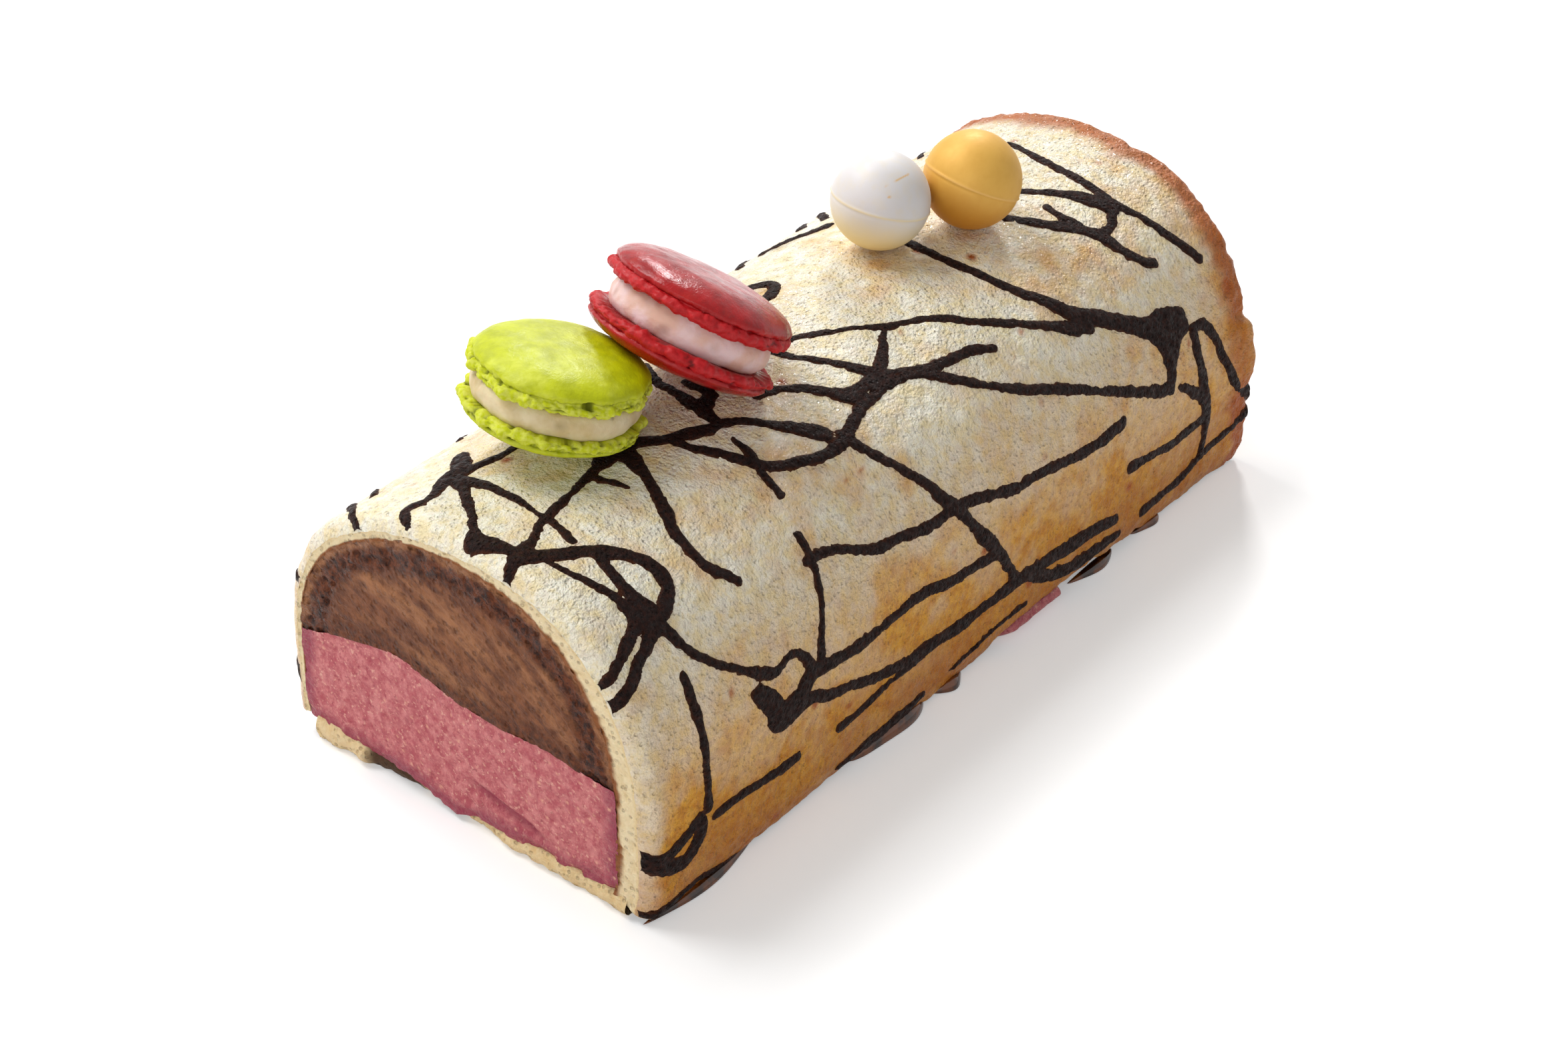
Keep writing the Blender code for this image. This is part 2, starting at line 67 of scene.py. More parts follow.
# ---- chocolate strokes: x along the log, distance down from the crown towards -Y, half width, in mm ----
STROKES = (
    ((-101, -15, 1), (-98, -18, 1.3), (-94, -17, 1), (-90, -18, 1.5), (-86, -19, 2.3), (-82, -20, 2.2),
     (-79, -23, 2.2), (-77, -25, 1.9)),
    ((-86, -16, 2.2), (-88, -13, 1.4), (-91, -9, 1.1), (-94, -5, 1.1), (-97, -2, 1.2), (-99, 1, 2.3),
     (-98, 4, 2), (-97, 8, 1.5)),
    ((-86, -16, 2), (-85, -12, 1.4), (-85, -7, 1.1), (-85, -2, 1), (-86, 3, 0.9), (-86, 8, 1), (-87, 13, 1)),
    ((-82, -18, 1.2), (-78, -17, 1.4), (-74, -16, 1.1), (-69, -15, 1.2), (-64, -11, 1.2)),
    ((-102, 11, 1.1), (-97, 9, 1.8), (-92, 8, 1.1), (-88, 6, 1), (-83, 5, 1.2), (-77, 4, 1), (-72, 3, 1.1),
     (-67, 2, 1.3)),
    ((-71, 4, 1), (-70, 7, 0.8), (-69, 10, 0.6)),
    ((-97, 10, 2), (-93, 13, 1.6), (-88, 16, 1.5), (-84, 19, 1.8), (-81, 22, 1.5), (-79, 26, 1.5),
     (-79, 30, 1.6), (-82, 33, 1.7), (-87, 35, 1.8), (-93, 38, 1.4), (-98, 41, 1.5), (-103, 43, 1.4)),
    ((-95, 12, 1), (-94, 17, 0.8), (-92, 22, 0.9), (-90, 27, 1.2), (-89, 32, 2), (-86, 35, 2.2)),
    ((-86, 18, 1.4), (-87, 22, 1.2), (-87, 27, 1.4), (-86, 32, 2.6)),
    ((-88, 31, 2), (-91, 33, 1.6), (-95, 35, 1.6), (-99, 37, 1.2), (-103, 39, 0.9)),
    ((-85, 36, 1.5), (-83, 41, 1.1), (-80, 45, 1), (-77, 48, 0.9), (-73, 51, 0.9), (-69, 54, 1.1),
     (-65, 56, 1.2), (-60, 55, 1.1), (-57, 57, 1.3), (-55, 60, 1.6)),
    ((-67, 2, 2), (-62, 1, 2.8), (-58, 3, 1.7), (-54, 6, 1.5), (-50, 8, 1.5), (-46, 10, 1.6), (-42, 11, 1.4),
     (-38, 14, 1.3), (-34, 18, 1.2), (-30, 22, 1.7), (-27, 25, 1.9)),
    ((-62, 4, 2), (-64, 10, 1.5), (-67, 17, 1.5), (-70, 23, 1.3), (-70, 28, 1.2), (-69, 32, 1.2),
     (-65, 37, 1.1)),
    ((-53, 7, 1.3), (-52, 11, 1.1), (-49, 15, 1.1), (-46, 20, 1.3), (-42, 24, 1.2), (-37, 26, 1.2),
     (-31, 28, 1.3), (-25, 28, 1.7), (-19, 26, 1.5), (-13, 24, 1.7), (-7, 23, 2), (-1, 24, 1.8), (5, 26, 1.5),
     (12, 27, 1.2), (18, 28, 1.2), (23, 30, 1)),
    ((-44, 15, 0.7), (-44, 19, 1.2), (-45, 24, 1.1), (-45, 29, 1)),
    ((-36, -14, 1), (-40, -8, 1.2), (-41, -2, 1.3), (-42, 4, 2), (-43, 10, 1.5)),
    ((-37, -2, 1.6), (-37, 3, 1.8), (-40, 5, 2)),
    ((-31, 10, 1.3), (-26, 12, 1.2), (-22, 15, 1.3), (-18, 19, 1.5), (-14, 22, 2.2), (-8, 22, 2.2)),
    ((-18, 3, 1.3), (-16, 8, 1.1), (-12, 13, 1.1), (-9, 17, 1.5), (-6, 21, 2)),
    ((-13, 3, 0.9), (-8, 5, 1), (-3, 8, 0.8), (1, 10, 0.8), (5, 13, 1.1), (10, 15, 0.8), (15, 17, 1),
     (20, 20, 1.2), (25, 24, 1.1), (30, 27, 1.1), (35, 30, 1.1), (40, 33, 1.3), (45, 36, 1.7), (50, 38, 1.8)),
    ((5, 14, 0.8), (2, 16, 1), (-2, 19, 1.3), (-6, 21, 1.6)),
    ((-24, 27, 1.4), (-22, 31, 1.3), (-19, 35, 1.2), (-16, 39, 1.2), (-12, 44, 1.3), (-9, 49, 1.7),
     (-5, 54, 1.5), (-2, 59, 1.3), (1, 63, 1.8), (5, 68, 1.4), (8, 73, 1.4), (11, 78, 1.6)),
    ((2, 25, 1.3), (7, 29, 1.2), (12, 33, 1.1), (18, 37, 1), (25, 41, 1.2), (32, 44, 1.2), (40, 48, 1.2),
     (48, 52, 1.2), (56, 56, 1.2), (62, 59, 1.3), (67, 61, 1.8), (70, 62, 1.7)),
    ((34, -6, 1.4), (34, 0, 1.4), (34, 6, 1.3), (35, 12, 1.2), (37, 18, 1.4), (40, 24, 1.3), (44, 29, 1.4),
     (48, 34, 1.9), (54, 38, 1.8), (60, 42, 1.9), (66, 46, 2.6), (72, 47, 3), (78, 49, 2.2)),
    ((66, 46, 2), (72, 51, 4), (71, 56, 2.4), (70, 61, 2)),
    ((74, 50, 3), (78, 51, 2.4)),
    ((83, -10, 0.9), (82, -5, 1.1), (81, 0, 1.2), (80, 7, 1.3), (80, 14, 1.4), (80, 20, 1.6), (83, 26, 1.2),
     (85, 31, 1.3), (88, 36, 1.3), (91, 41, 1.3)),
    ((56, 8, 1.2), (58, 11, 1.4), (62, 16, 1.5), (66, 20, 2), (70, 25, 1.7), (72, 30, 1.3), (75, 34, 1.3),
     (78, 36, 1.1)),
    ((65, 3, 1.2), (69, 7, 1.2), (73, 12, 1.6), (76, 16, 2.1), (78, 20, 2)),
    ((66, 12, 1.1), (66, 16, 1.5), (67, 20, 1.7)),
    ((69, 24, 1.6), (74, 24, 1.3), (79, 21, 1.7)),
    ((81, 54, 1.8), (81, 59, 1.5), (82, 64, 1.8), (83, 70, 1.9), (84, 76, 1.8), (84, 81, 1.4), (83, 86, 1.4)),
    ((81, 53, 1.3), (85, 54, 1.6), (88, 58, 1.2), (90, 63, 1.2), (93, 69, 1.3), (96, 74, 1.3), (102, 79, 1.6)),
    ((73, 63, 0.9), (77, 66, 1.3), (82, 70, 2)),
    ((54, 73, 1.7), (59, 74, 1.3), (65, 75, 1.3), (72, 76, 1.3), (82, 76, 1.4)),
    ((-47, 37, 1.2), (-47, 42, 1.2), (-48, 48, 0.9), (-50, 54, 0.9), (-52, 60, 1.5)),
    ((-48, 42, 1.2), (-42, 43, 1.1), (-36, 46, 1.1), (-30, 49, 1.2), (-23, 50, 1.2), (-15, 52, 1.3),
     (-7, 52, 1.4), (2, 54, 1.3), (12, 57, 1.3), (22, 58, 1.4), (32, 60, 1.3), (42, 61, 1.5), (51, 61, 1.8)),
    ((-86, 45, 0.9), (-86, 50, 1.2), (-86, 58, 1.1), (-86, 66, 1.1), (-86, 74, 1.2)),
    ((-103, 76, 1.3), (-98, 78, 1.5), (-93, 77, 1.4), (-89, 75, 1.6), (-88, 78, 1.8), (-92, 82, 1.7),
     (-97, 81, 1.7), (-103, 78, 1.2)),
    ((-84, 77, 1.1), (-77, 77, 1.3), (-69, 78, 1.3), (-60, 79, 1.4)),
    ((-70, 58, 1.9), (-67, 62, 2.6), (-65, 66, 3.2), (-60, 65, 3), (-55, 62, 2), (-49, 63, 1.6), (-40, 64, 1.5),
     (-30, 64, 1.4), (-20, 64, 1.4), (-12, 66, 1.4), (-4, 67, 1.4), (4, 68, 1.5)),
    ((-62, 67, 2.4), (-56, 67, 1.8), (-50, 70, 1.5), (-43, 72, 1.4), (-35, 75, 1.4), (-27, 77, 1.6),
     (-18, 78, 2), (-8, 79, 1.8), (2, 79, 1.7), (12, 79, 1.9), (22, 80, 1.8), (31, 81, 2), (41, 82, 1.9),
     (49, 84, 1.4)),
    ((-47, 80, 1.2), (-40, 80, 1), (-30, 79, 1), (-20, 79, 1.2)),
    ((-10, 89, 0.6), (-2, 88, 0.7), (6, 87, 0.8), (16, 87, 0.8)),
    ((-46, 91, 0.9), (-38, 91, 1.8), (-28, 91, 2), (-19, 90, 1.2)),
    ((-102, 92, 1.2), (-96, 91, 1.4), (-89, 90, 0.9), (-82, 92, 1.2), (-77, 93, 1)),
    ((16, 80, 1.3), (23, 84, 1.6), (32, 87, 1.8), (42, 88, 1.7), (51, 89, 1.1)),
    ((60, 88, 1.6), (67, 88, 1.2), (76, 88, 1.3), (84, 86, 1.3), (93, 85, 1.3), (102, 83, 1.3)),
    ((-4, -15, 1.6), (1, -18, 1.6), (4, -14, 1.6), (-1, -11, 1.5), (-6, -13, 1.5)),
    ((23, -33, 1.3), (28, -29, 1.6), (34, -23, 1.4)),
    ((16, -34, 1.2), (23, -40, 1.3), (32, -46, 1.2), (44, -49, 1.1), (56, -51, 1.1)),
    ((36, -33, 1.3), (43, -40, 1.5), (50, -45, 1.2)),
    ((39, -28, 1.1), (47, -37, 1.2), (57, -47, 1.2), (70, -52, 1.2)),
    ((76, -30, 0.8), (84, -37, 1), (91, -43, 1.1), (96, -52, 1.1)),
    ((-103, -28, 0.9), (-96, -37, 1.1), (-90, -47, 1.2), (-88, -57, 1.2)),
    ((-91, -36, 1), (-84, -45, 1.1)),
    ((-67, -37, 0.9), (-61, -44, 1.1), (-52, -49, 1.3), (-42, -50, 1.1)),
    ((-103, -58, 1.2), (-92, -63, 1.4), (-80, -60, 1.3), (-66, -63, 1.4), (-54, -70, 1.3), (-46, -79, 1.2)),
    ((-103, -84, 1.6), (-99, -82, 1.8), (-96, -85, 1)),
    ((-72, -84, 1.2), (-60, -80, 1.3), (-46, -79, 1.5), (-30, -82, 1.3), (-16, -80, 1.2)),
    ((-38, -57, 1.2), (-28, -64, 1.4), (-14, -66, 1.5), (2, -60, 1.3), (14, -52, 1.2)),
    ((-14, -66, 1.5), (-8, -74, 1.3), (2, -82, 1.2)),
    ((12, -70, 1.3), (24, -66, 1.4), (40, -68, 1.5), (55, -76, 1.3), (66, -84, 1.2)),
    ((40, -60, 1.2), (52, -60, 1.3), (64, -66, 1.4), (78, -68, 1.3), (90, -62, 1.2)),
    ((30, -84, 1.1), (42, -88, 1.2), (56, -86, 1.1)),
    ((86, -70, 1.2), (92, -78, 1.3), (95, -88, 1.2)),
)

# ---- the camera that sees the cake as photographed, mm and degrees ----
CAMERA_PLACE = (-387.4, -297.0, 361.4)
CAMERA_LOOK = (0.64386, 0.50093, -0.57837)
CAMERA_RIGHT = (0.62462, -0.78069, 0.01919)
CAMERA_LENS = 65.17

# ---- the sheet's edges, mm ----
EDGE_ROUND, FAR_EDGE_ROUND = 3.4, 1.8
FAR_RIM, CUT_SOFT = 16.0, 5.0
FAR_FACE = BACK - 0.8
FILLING_FAR_FACE = BACK - 0.9
BODY_END = 98.5
FOOT_POINTS = 60

# ---- toppings, mm; the balls' scratches face one way ----
BALL_RADIUS = 10.4
SCRATCH_RIGHT = (0.62462, -0.78069, 0.01919)
SCRATCH_INWARDS = (0.64386, 0.50093, -0.57837)

# ---- how finely the pieces are made ----
SKIN_GRID = ((306, 292))
CHOCOLATE_GRID = ((110, 200))
PINK_GRID = ((90, 210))
STROKE_CELL = 0.42
MACARON_STEPS = 320
BALL_ROWS, BALL_STEPS = 120, 220

# ---- light ----
AMBIENT = 0.33
FLOOR_LIFT = 0.30
FLOOR_HALF, FLOOR_DROP = 6.0, 0.0002


# ---- small tools ----
def smooth(a, b, x):
    t = unit((x - a) / (b - a))
    return t * t * (3.0 - 2.0 * t)


def along(pair, x):
    return pair[0] + (pair[1] - pair[0]) * (x - FRONT) / LENGTH


def hashed(i, j, k, seed):
    h = (i * 374761393 + j * 668265263 + k * 1274126177 + seed * 974711) & 0xFFFFFFFF
    h = ((h ^ (h >> 13)) * 1103515245) & 0xFFFFFFFF
    h = ((h ^ (h >> 16)) * 2246822519) & 0xFFFFFFFF
    return ((h ^ (h >> 15)) & 0xFFFFFF) / float(0xFFFFFF)


def noise(p, size, seed=0):
    """Smooth noise between -1 and 1 at points p (..., 3), with features of about `size` mm."""
    q = np.asarray(p, float) / size + 4096.0
    base = np.floor(q).astype(np.int64)
    f = q - base
    f = f * f * (3.0 - 2.0 * f)
    total = 0.0
    for dx in (0, 1):
        for dy in (0, 1):
            for dz in (0, 1):
                w = (f[..., 0] if dx else 1 - f[..., 0]) * (f[..., 1] if dy else 1 - f[..., 1])
                w = w * (f[..., 2] if dz else 1 - f[..., 2])
                total = total + w * hashed(base[..., 0] + dx, base[..., 1] + dy, base[..., 2] + dz, seed)
    return total * 2.0 - 1.0


def fractal(p, size, octaves=3, seed=0, gain=0.55):
    total, weight, scale = 0.0, 0.0, 1.0
    for i in range(octaves):
        total = total + scale * noise(p, size / 2.0**i, seed + 17 * i)
        weight += scale
        scale *= gain
    return total / weight


def cells(p, size, seed=0):
    """Distance, in cells, to the nearest of scattered points: small inside a pore."""
    q = np.asarray(p, float) / size + 4096.0
    base = np.floor(q).astype(np.int64)
    best = np.full(q.shape[:-1], 9.0)
    for dx in (-1, 0, 1):
        for dy in (-1, 0, 1):
            for dz in (-1, 0, 1):
                c = base + np.array((dx, dy, dz))
                r = [hashed(c[..., 0], c[..., 1], c[..., 2], seed + s) for s in (1, 2, 3)]
                d = (c + np.stack(r, -1)) - q
                best = np.minimum(best, np.sqrt((d * d).sum(-1)))
    return best


def unit(x):
    return np.clip(x, 0.0, 1.0)


def add_mesh(name, vertices, faces, material, tone=None):
    """A shown piece that rides the cake's one body. Vertices are in mm, tone is three masks for each."""
    mesh = bpy.data.meshes.new(name)
    mesh.from_pydata((np.asarray(vertices, float).reshape(-1, 3) * 0.001).tolist(), [], faces)
    if tone is not None:
        flat = np.ones((len(mesh.vertices), 4))
        flat[:, :3] = tone.reshape(-1, 3)
        mesh.color_attributes.new("tone", "FLOAT_COLOR", "POINT").data.foreach_set("color", flat.ravel())
    mesh.polygons.foreach_set("use_smooth", [True] * len(mesh.polygons))
    mesh.materials.append(material)
    mesh.update()
    piece = bpy.data.objects.new(name, mesh)
    bpy.context.scene.collection.objects.link(piece)
    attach(piece, "root")
    return piece


def grid_faces(rows, columns, start=0, wrap=False, flip=False):
    """Quads over a grid of rows by columns, the columns joined round where wrap is set."""
    i, j = np.meshgrid(np.arange(rows - 1), np.arange(columns if wrap else columns - 1), indexing="ij")
    k = (j + 1) % columns
    quads = np.stack([i * columns + j, i * columns + k, (i + 1) * columns + k, (i + 1) * columns + j], -1)
    quads = quads.reshape(-1, 4) + start
    return (quads[:, ::-1] if flip else quads).tolist()


# ---- the log's outer surface ----
def right_edge(x):
    lift = smooth(3.0, 8.0, x) - 0.5 * smooth(42.0, 46.0, x) - 0.5 * smooth(58.0, 66.0, x)
    return 0.4 + 3.8 * lift


def left_edge(x):
    return 4.6 - 3.4 * smooth(FRONT, FRONT + 40.0, x)


def outline(x, count=720):
    """Dense outline at x from the -Y foot over the crown to the +Y foot, and distance down from the crown."""
    angle = np.linspace(0.0, math.pi, count + 1)
    half = along(HALF_WIDTH, x) + 0.4 * smooth(BACK - 14.0, BACK, x)
    height, wall, lean = along(HEIGHT, x), along(WALL_HEIGHT, x), along(LEAN, x)
    c, s = np.cos(angle), np.clip(np.sin(angle), 0.0, None)
    up = s ** (2.0 / POWER)
    bump = (0.35 * np.sin(x / 17.0 + 2.0 * angle) + 0.25 * np.sin(x / 41.0 - 3.0 * angle + 1.0)) * up
    y = -half * np.sign(c) * np.abs(c) ** (2.0 / POWER) + lean * s**4
    z = wall + (height - wall) * up + bump
    low = np.linspace(0.0, wall, FOOT_POINTS, endpoint=False)
    tuck = TUCK * np.clip(1.0 - low / TUCK_HEIGHT, 0.0, None) ** 2
    ys = np.concatenate([y[0] + tuck, y, (y[-1] - tuck)[::-1]])
    zs = np.concatenate([low, z, low[::-1]])
    run = np.concatenate([[0.0], np.cumsum(np.hypot(np.diff(ys), np.diff(zs)))])
    return ys, zs, run[FOOT_POINTS + count // 2] - run


def edge_runs(x, zs, run):
    """How far down from the crown the sheet reaches on each side at x."""
    return (np.interp(right_edge(x), zs[:FOOT_POINTS], run[:FOOT_POINTS]),
            np.interp(left_edge(x), zs[-FOOT_POINTS:][::-1], run[-FOOT_POINTS:][::-1]))


class Skin:
    """Looks up points and outward directions on the log by (x, distance from the crown)."""

    def __init__(self):
        self.xs = np.linspace(FRONT, BACK, 103)
        self.run = np.linspace(100.0, -100.0, 801)
        rows = []
        self.ends = []
        for x in self.xs:
            ys, zs, run = outline(x)
            rows.append(np.stack([np.interp(-self.run, -run, ys), np.interp(-self.run, -run, zs)], -1))
            self.ends.append(edge_runs(x, zs, run))
        self.table = np.array(rows)
        self.ends = np.array(self.ends)

    def point(self, x, run):
        u = unit((x - FRONT) / LENGTH) * (len(self.xs) - 1)
        v = unit((100.0 - run) / 200.0) * (len(self.run) - 1)
        i = np.minimum(u.astype(int), len(self.xs) - 2)
        j = np.minimum(v.astype(int), len(self.run) - 2)
        a, b = (u - i)[..., None], (v - j)[..., None]
        t = self.table
        yz = (t[i, j] * (1 - a) + t[i + 1, j] * a) * (1 - b) + (t[i, j + 1] * (1 - a) + t[i + 1, j + 1] * a) * b
        return np.concatenate([x[..., None], yz], -1)

    def normal(self, x, run):
        along_run = self.point(x, run - 0.6) - self.point(x, run + 0.6)
        near, far = np.clip(x - 2.0, FRONT, BACK), np.clip(x + 2.0, FRONT, BACK)
        along_x = self.point(far, run) - self.point(near, run)
        n = np.cross(along_x, along_run)
        return n / np.maximum(np.linalg.norm(n, axis=-1, keepdims=True), 1e-9)


skin = Skin()


def inner_outline(x, count):
    """The sponge's inside and outside at x, as (y, z), with as many points, spread evenly."""
    ys, zs, run = outline(x)
    at = np.linspace(*edge_runs(x, zs, run), count)
    y, z = np.interp(-at, -run, ys), np.interp(-at, -run, zs)
    crown = run[FOOT_POINTS:-FOOT_POINTS]
    angle = np.interp(-at, -crown, np.linspace(0.0, math.pi, len(crown)))
    dy, dz = np.gradient(y), np.gradient(z)
    size = np.hypot(dy, dz)
    thick = 6.4 + 2.2 * np.cos(angle) - 1.3 * np.exp(-(((angle - 1.66) / 0.38) ** 2))
    ny, nz = -dz / size, dy / size
    return np.stack([y - ny * thick, z - nz * thick], -1), np.stack([y, z], -1)


def layer_height(x, y):
    z = LAYER_HEIGHT + LAYER_SWELL * np.exp(-(((y - 17.0) / 12.0) ** 2))
    z = z + 0.9 * np.exp(-(((y + 22.0) / 7.0) ** 2)) - 2.6 * np.exp(-(((y - 43.0) / 7.0) ** 2))
    return z + 0.5 * np.sin((x - FRONT) / 23.0) * np.cos(y / 14.0)


# ---- materials ----
class Look:
    """A node material, wired with short calls."""

    def __init__(self, name, slot):
        self.material = bpy.data.materials.new(name)
        self.material.use_nodes = True
        self.tree = self.material.node_tree
        self.shader = self.tree.nodes["Principled BSDF"]
        self.slot = slot
        self.place = self.node("ShaderNodeTexCoord").outputs["Object"]

    def node(self, kind, **values):
        made = self.tree.nodes.new(kind)
        for key, value in values.items():
            if key in made.inputs:
                made.inputs[key].default_value = value
            else:
                setattr(made, key, value)
        return made

    def join(self, a, b):
        self.tree.links.new(a, b)

    def set(self, **values):
        names = {"rough": "Roughness", "coat": "Coat Weight", "coat_rough": "Coat Roughness",
                 "sss": "Subsurface Weight", "sss_scale": "Subsurface Scale", "metal": "Metallic",
                 "spec": "Specular IOR Level"}
        for key, value in values.items():
            self.shader.inputs[names[key]].default_value = value

    def noise(self, size, detail=3.0, rough=0.55, stretch=None, turn=0.0):
        n = self.node("ShaderNodeTexNoise", Scale=1000.0 / size, Detail=detail, Roughness=rough)
        where = self.place
        if stretch is not None:
            m = self.node("ShaderNodeMapping")
            m.vector_type = "TEXTURE"
            m.inputs["Rotation"].default_value = (turn, 0.0, 0.0)
            m.inputs["Scale"].default_value = stretch
            self.join(where, m.inputs["Vector"])
            where = m.outputs["Vector"]
        self.join(where, n.inputs["Vector"])
        return n.outputs["Fac"]

    def spots(self, size):
        n = self.node("ShaderNodeTexVoronoi", Scale=1000.0 / size)
        self.join(self.place, n.inputs["Vector"])
        return n.outputs["Distance"]

    def band(self, value, low, high, to_low=0.0, to_high=1.0):
        m = self.node("ShaderNodeMapRange")
        m.interpolation_type = "SMOOTHSTEP"
        for key, number in (("From Min", low), ("From Max", high), ("To Min", to_low), ("To Max", to_high)):
            m.inputs[key].default_value = number
        self.join(value, m.inputs["Value"])
        return m.outputs["Result"]

    def maths(self, kind, a, b):
        m = self.node("ShaderNodeMath", operation=kind)
        for i, value in enumerate((a, b)):
            if isinstance(value, (int, float)):
                m.inputs[i].default_value = value
            else:
                self.join(value, m.inputs[i])
        return m.outputs["Value"]

    def plus(self, a, b, times=1.0):
        """a + b * times."""
        return self.maths("ADD", a, b if times == 1.0 else self.maths("MULTIPLY", b, times))

    def mix(self, factor, a, b):
        m = self.node("ShaderNodeMix", data_type="RGBA")
        for value, socket in ((factor, m.inputs["Factor"]), (a, m.inputs[6]), (b, m.inputs[7])):
            if isinstance(value, tuple):
                socket.default_value = (*value, 1.0)
            elif isinstance(value, (int, float)):
                socket.default_value = value
            else:
                self.join(value, socket)
        return m.outputs[2]

    def tone(self):
        """The mesh's painted masks as three values."""
        a = self.node("ShaderNodeAttribute", attribute_name="tone")
        s = self.node("ShaderNodeSeparateColor")
        self.join(a.outputs["Color"], s.inputs["Color"])
        return s.outputs["Red"], s.outputs["Green"], s.outputs["Blue"]

    def bump(self, height, strength, depth):
        b = self.node("ShaderNodeBump", Strength=strength, Distance=depth * 0.001)
        self.join(height, b.inputs["Height"])
        self.join(b.outputs["Normal"], self.shader.inputs["Normal"])

    def colour(self, value):
        if isinstance(value, tuple):
            self.shader.inputs["Base Color"].default_value = (*value, 1.0)
        else:
            self.join(value, self.shader.inputs["Base Color"])

    def roughness(self, value):
        self.join(value, self.shader.inputs["Roughness"])


def srgb(r, g, b):
    return tuple((c / 255.0 / 12.92) if c <= 10 else (((c / 255.0 + 0.055) / 1.055) ** 2.4) for c in (r, g, b))


def sponge_look():
    """Red: golden mottling, plus golder down the sides: partly baked colour, partly painted reflection of the
    golden board. Green: browning, plus browner towards the foot: partly baked colour and syrup, partly painted
    shade and painted reflection. Blue: syrup gloss.
    """
    look = Look("sponge", "sponge")
    gold_and_reflection, browning_and_shade, gloss = look.tone()
    cloud = look.band(look.noise(3.0, 5.0, 0.7), 0.38, 0.64)
    pale = look.mix(cloud, srgb(247, 243, 226), srgb(238, 221, 176))
    warm = look.mix(look.band(look.noise(2.2, 4.0, 0.65), 0.35, 0.65), srgb(228, 164, 52), srgb(202, 130, 22))
    base = look.mix(gold_and_reflection, pale, warm)
    base = look.mix(browning_and_shade, base, look.mix(look.noise(3.0), srgb(196, 98, 4), srgb(136, 58, 2)))
    fine = look.band(look.noise(1.5, 3.0, 0.7), 0.34, 0.50, 0.22, 0.0)
    base = look.mix(fine, base, srgb(176, 128, 60))
    look.colour(base)
    squiggle = look.noise(1.6, 2.0, 0.5)
    look.roughness(look.plus(look.band(squiggle, 0.3, 0.7, 0.46, 0.58), gloss, -0.38))
    grain = look.plus(look.noise(0.7, 2.0, 0.6), look.noise(2.4, 2.0), 1.2)
    grain = look.plus(grain, look.band(look.spots(1.3), 0.05, 0.35), 0.5)
    look.bump(grain, 1.0, 0.7)
    wet = look.node("ShaderNodeBump", Strength=1.0, Distance=0.0009)
    look.join(look.noise(1.7, 1.0), wet.inputs["Height"])
    look.join(wet.outputs["Normal"], look.shader.inputs["Coat Normal"])
    look.set(sss=0.05, sss_scale=0.002, spec=0.2, coat=0.15, coat_rough=0.07)
    look.shader.inputs["Subsurface Radius"].default_value = (1.0, 0.6, 0.3)
    return look


def crumb_look(name, light, dark, stain):
    """Cut or torn sponge. Red: wet stain at the filling. Green: pits, darkened as painted shade in the hollows.
    Blue: toasted skin.
    """
    look = Look(name, "sponge" if name == "sponge_cut" else "base_sponge")
    wet, pit, skin_tone = look.tone()
    base = look.mix(look.noise(1.6, 4.0, 0.65), light, dark)
    # painted shade: the pits are darkened
    base = look.mix(pit, base, dark)
    base = look.mix(skin_tone, base, srgb(226, 196, 140))
    base = look.mix(wet, base, stain)
    look.colour(base)
    look.bump(look.plus(look.noise(1.1, 3.0, 0.7), look.band(look.spots(1.3), 0.0, 0.4)), 1.0, 0.6)
    look.set(rough=0.62, sss=0.06, sss_scale=0.002, spec=0.15)
    return look


def chocolate_look():
    """Red: dark wet rim. Green: light knife smear. Blue: glisten."""
    look = Look("chocolate_mousse", "chocolate_mousse")
    rim, smear, wet = look.tone()
    streak = look.maths("MULTIPLY", look.noise(1.6, 5.0, 0.7, (1.0, 3.4, 1.0), 0.46), 0.6)
    streak = look.plus(streak, look.noise(2.6, 5.0, 0.72), 0.4)
    base = look.mix(look.band(streak, 0.34, 0.66), srgb(84, 44, 26), srgb(142, 88, 56))
    base = look.mix(look.maths("MULTIPLY", smear, look.band(streak, 0.30, 0.62)), base, srgb(176, 120, 80))
    grains = look.band(look.noise(1.5, 4.0, 0.75), 0.36, 0.64)
    base = look.mix(rim, base, look.mix(grains, srgb(112, 58, 30), srgb(46, 22, 14)))
    look.colour(base)
    look.roughness(look.plus(0.62, wet, -0.42))
    look.bump(look.plus(look.noise(1.0, 4.0, 0.7), look.band(look.spots(1.5), 0.0, 0.45)), 1.0, 0.7)
    look.set(spec=0.20)
    return look


def pink_look():
    """Red: darker fruity patches, and painted shade in the dent. Green: pale specks. Blue: glisten."""
    look = Look("pink_mousse", "pink_mousse")
    dark, speck, wet = look.tone()
    base = look.mix(look.band(look.noise(2.2, 5.0, 0.75), 0.36, 0.66), srgb(182, 88, 96), srgb(216, 136, 134))
    base = look.mix(look.band(look.noise(0.8, 2.0), 0.58, 0.70, 0.0, 0.7), base, srgb(236, 180, 162))
    base = look.mix(look.band(look.noise(1.2, 2.0), 0.30, 0.40, 0.5, 0.0), base, srgb(150, 52, 68))
    base = look.mix(dark, base, look.mix(look.noise(2.0), srgb(130, 36, 62), srgb(158, 60, 84)))
    base = look.mix(speck, base, srgb(236, 176, 150))
    look.colour(base)
    look.roughness(look.plus(0.55, wet, -0.34))
    look.bump(look.plus(look.noise(0.9, 3.0, 0.7), look.noise(2.6, 2.0)), 1.0, 0.6)
    look.set(spec=0.16, sss=0.05, sss_scale=0.002)
    look.shader.inputs["Subsurface Radius"].default_value = (1.0, 0.4, 0.3)
    return look


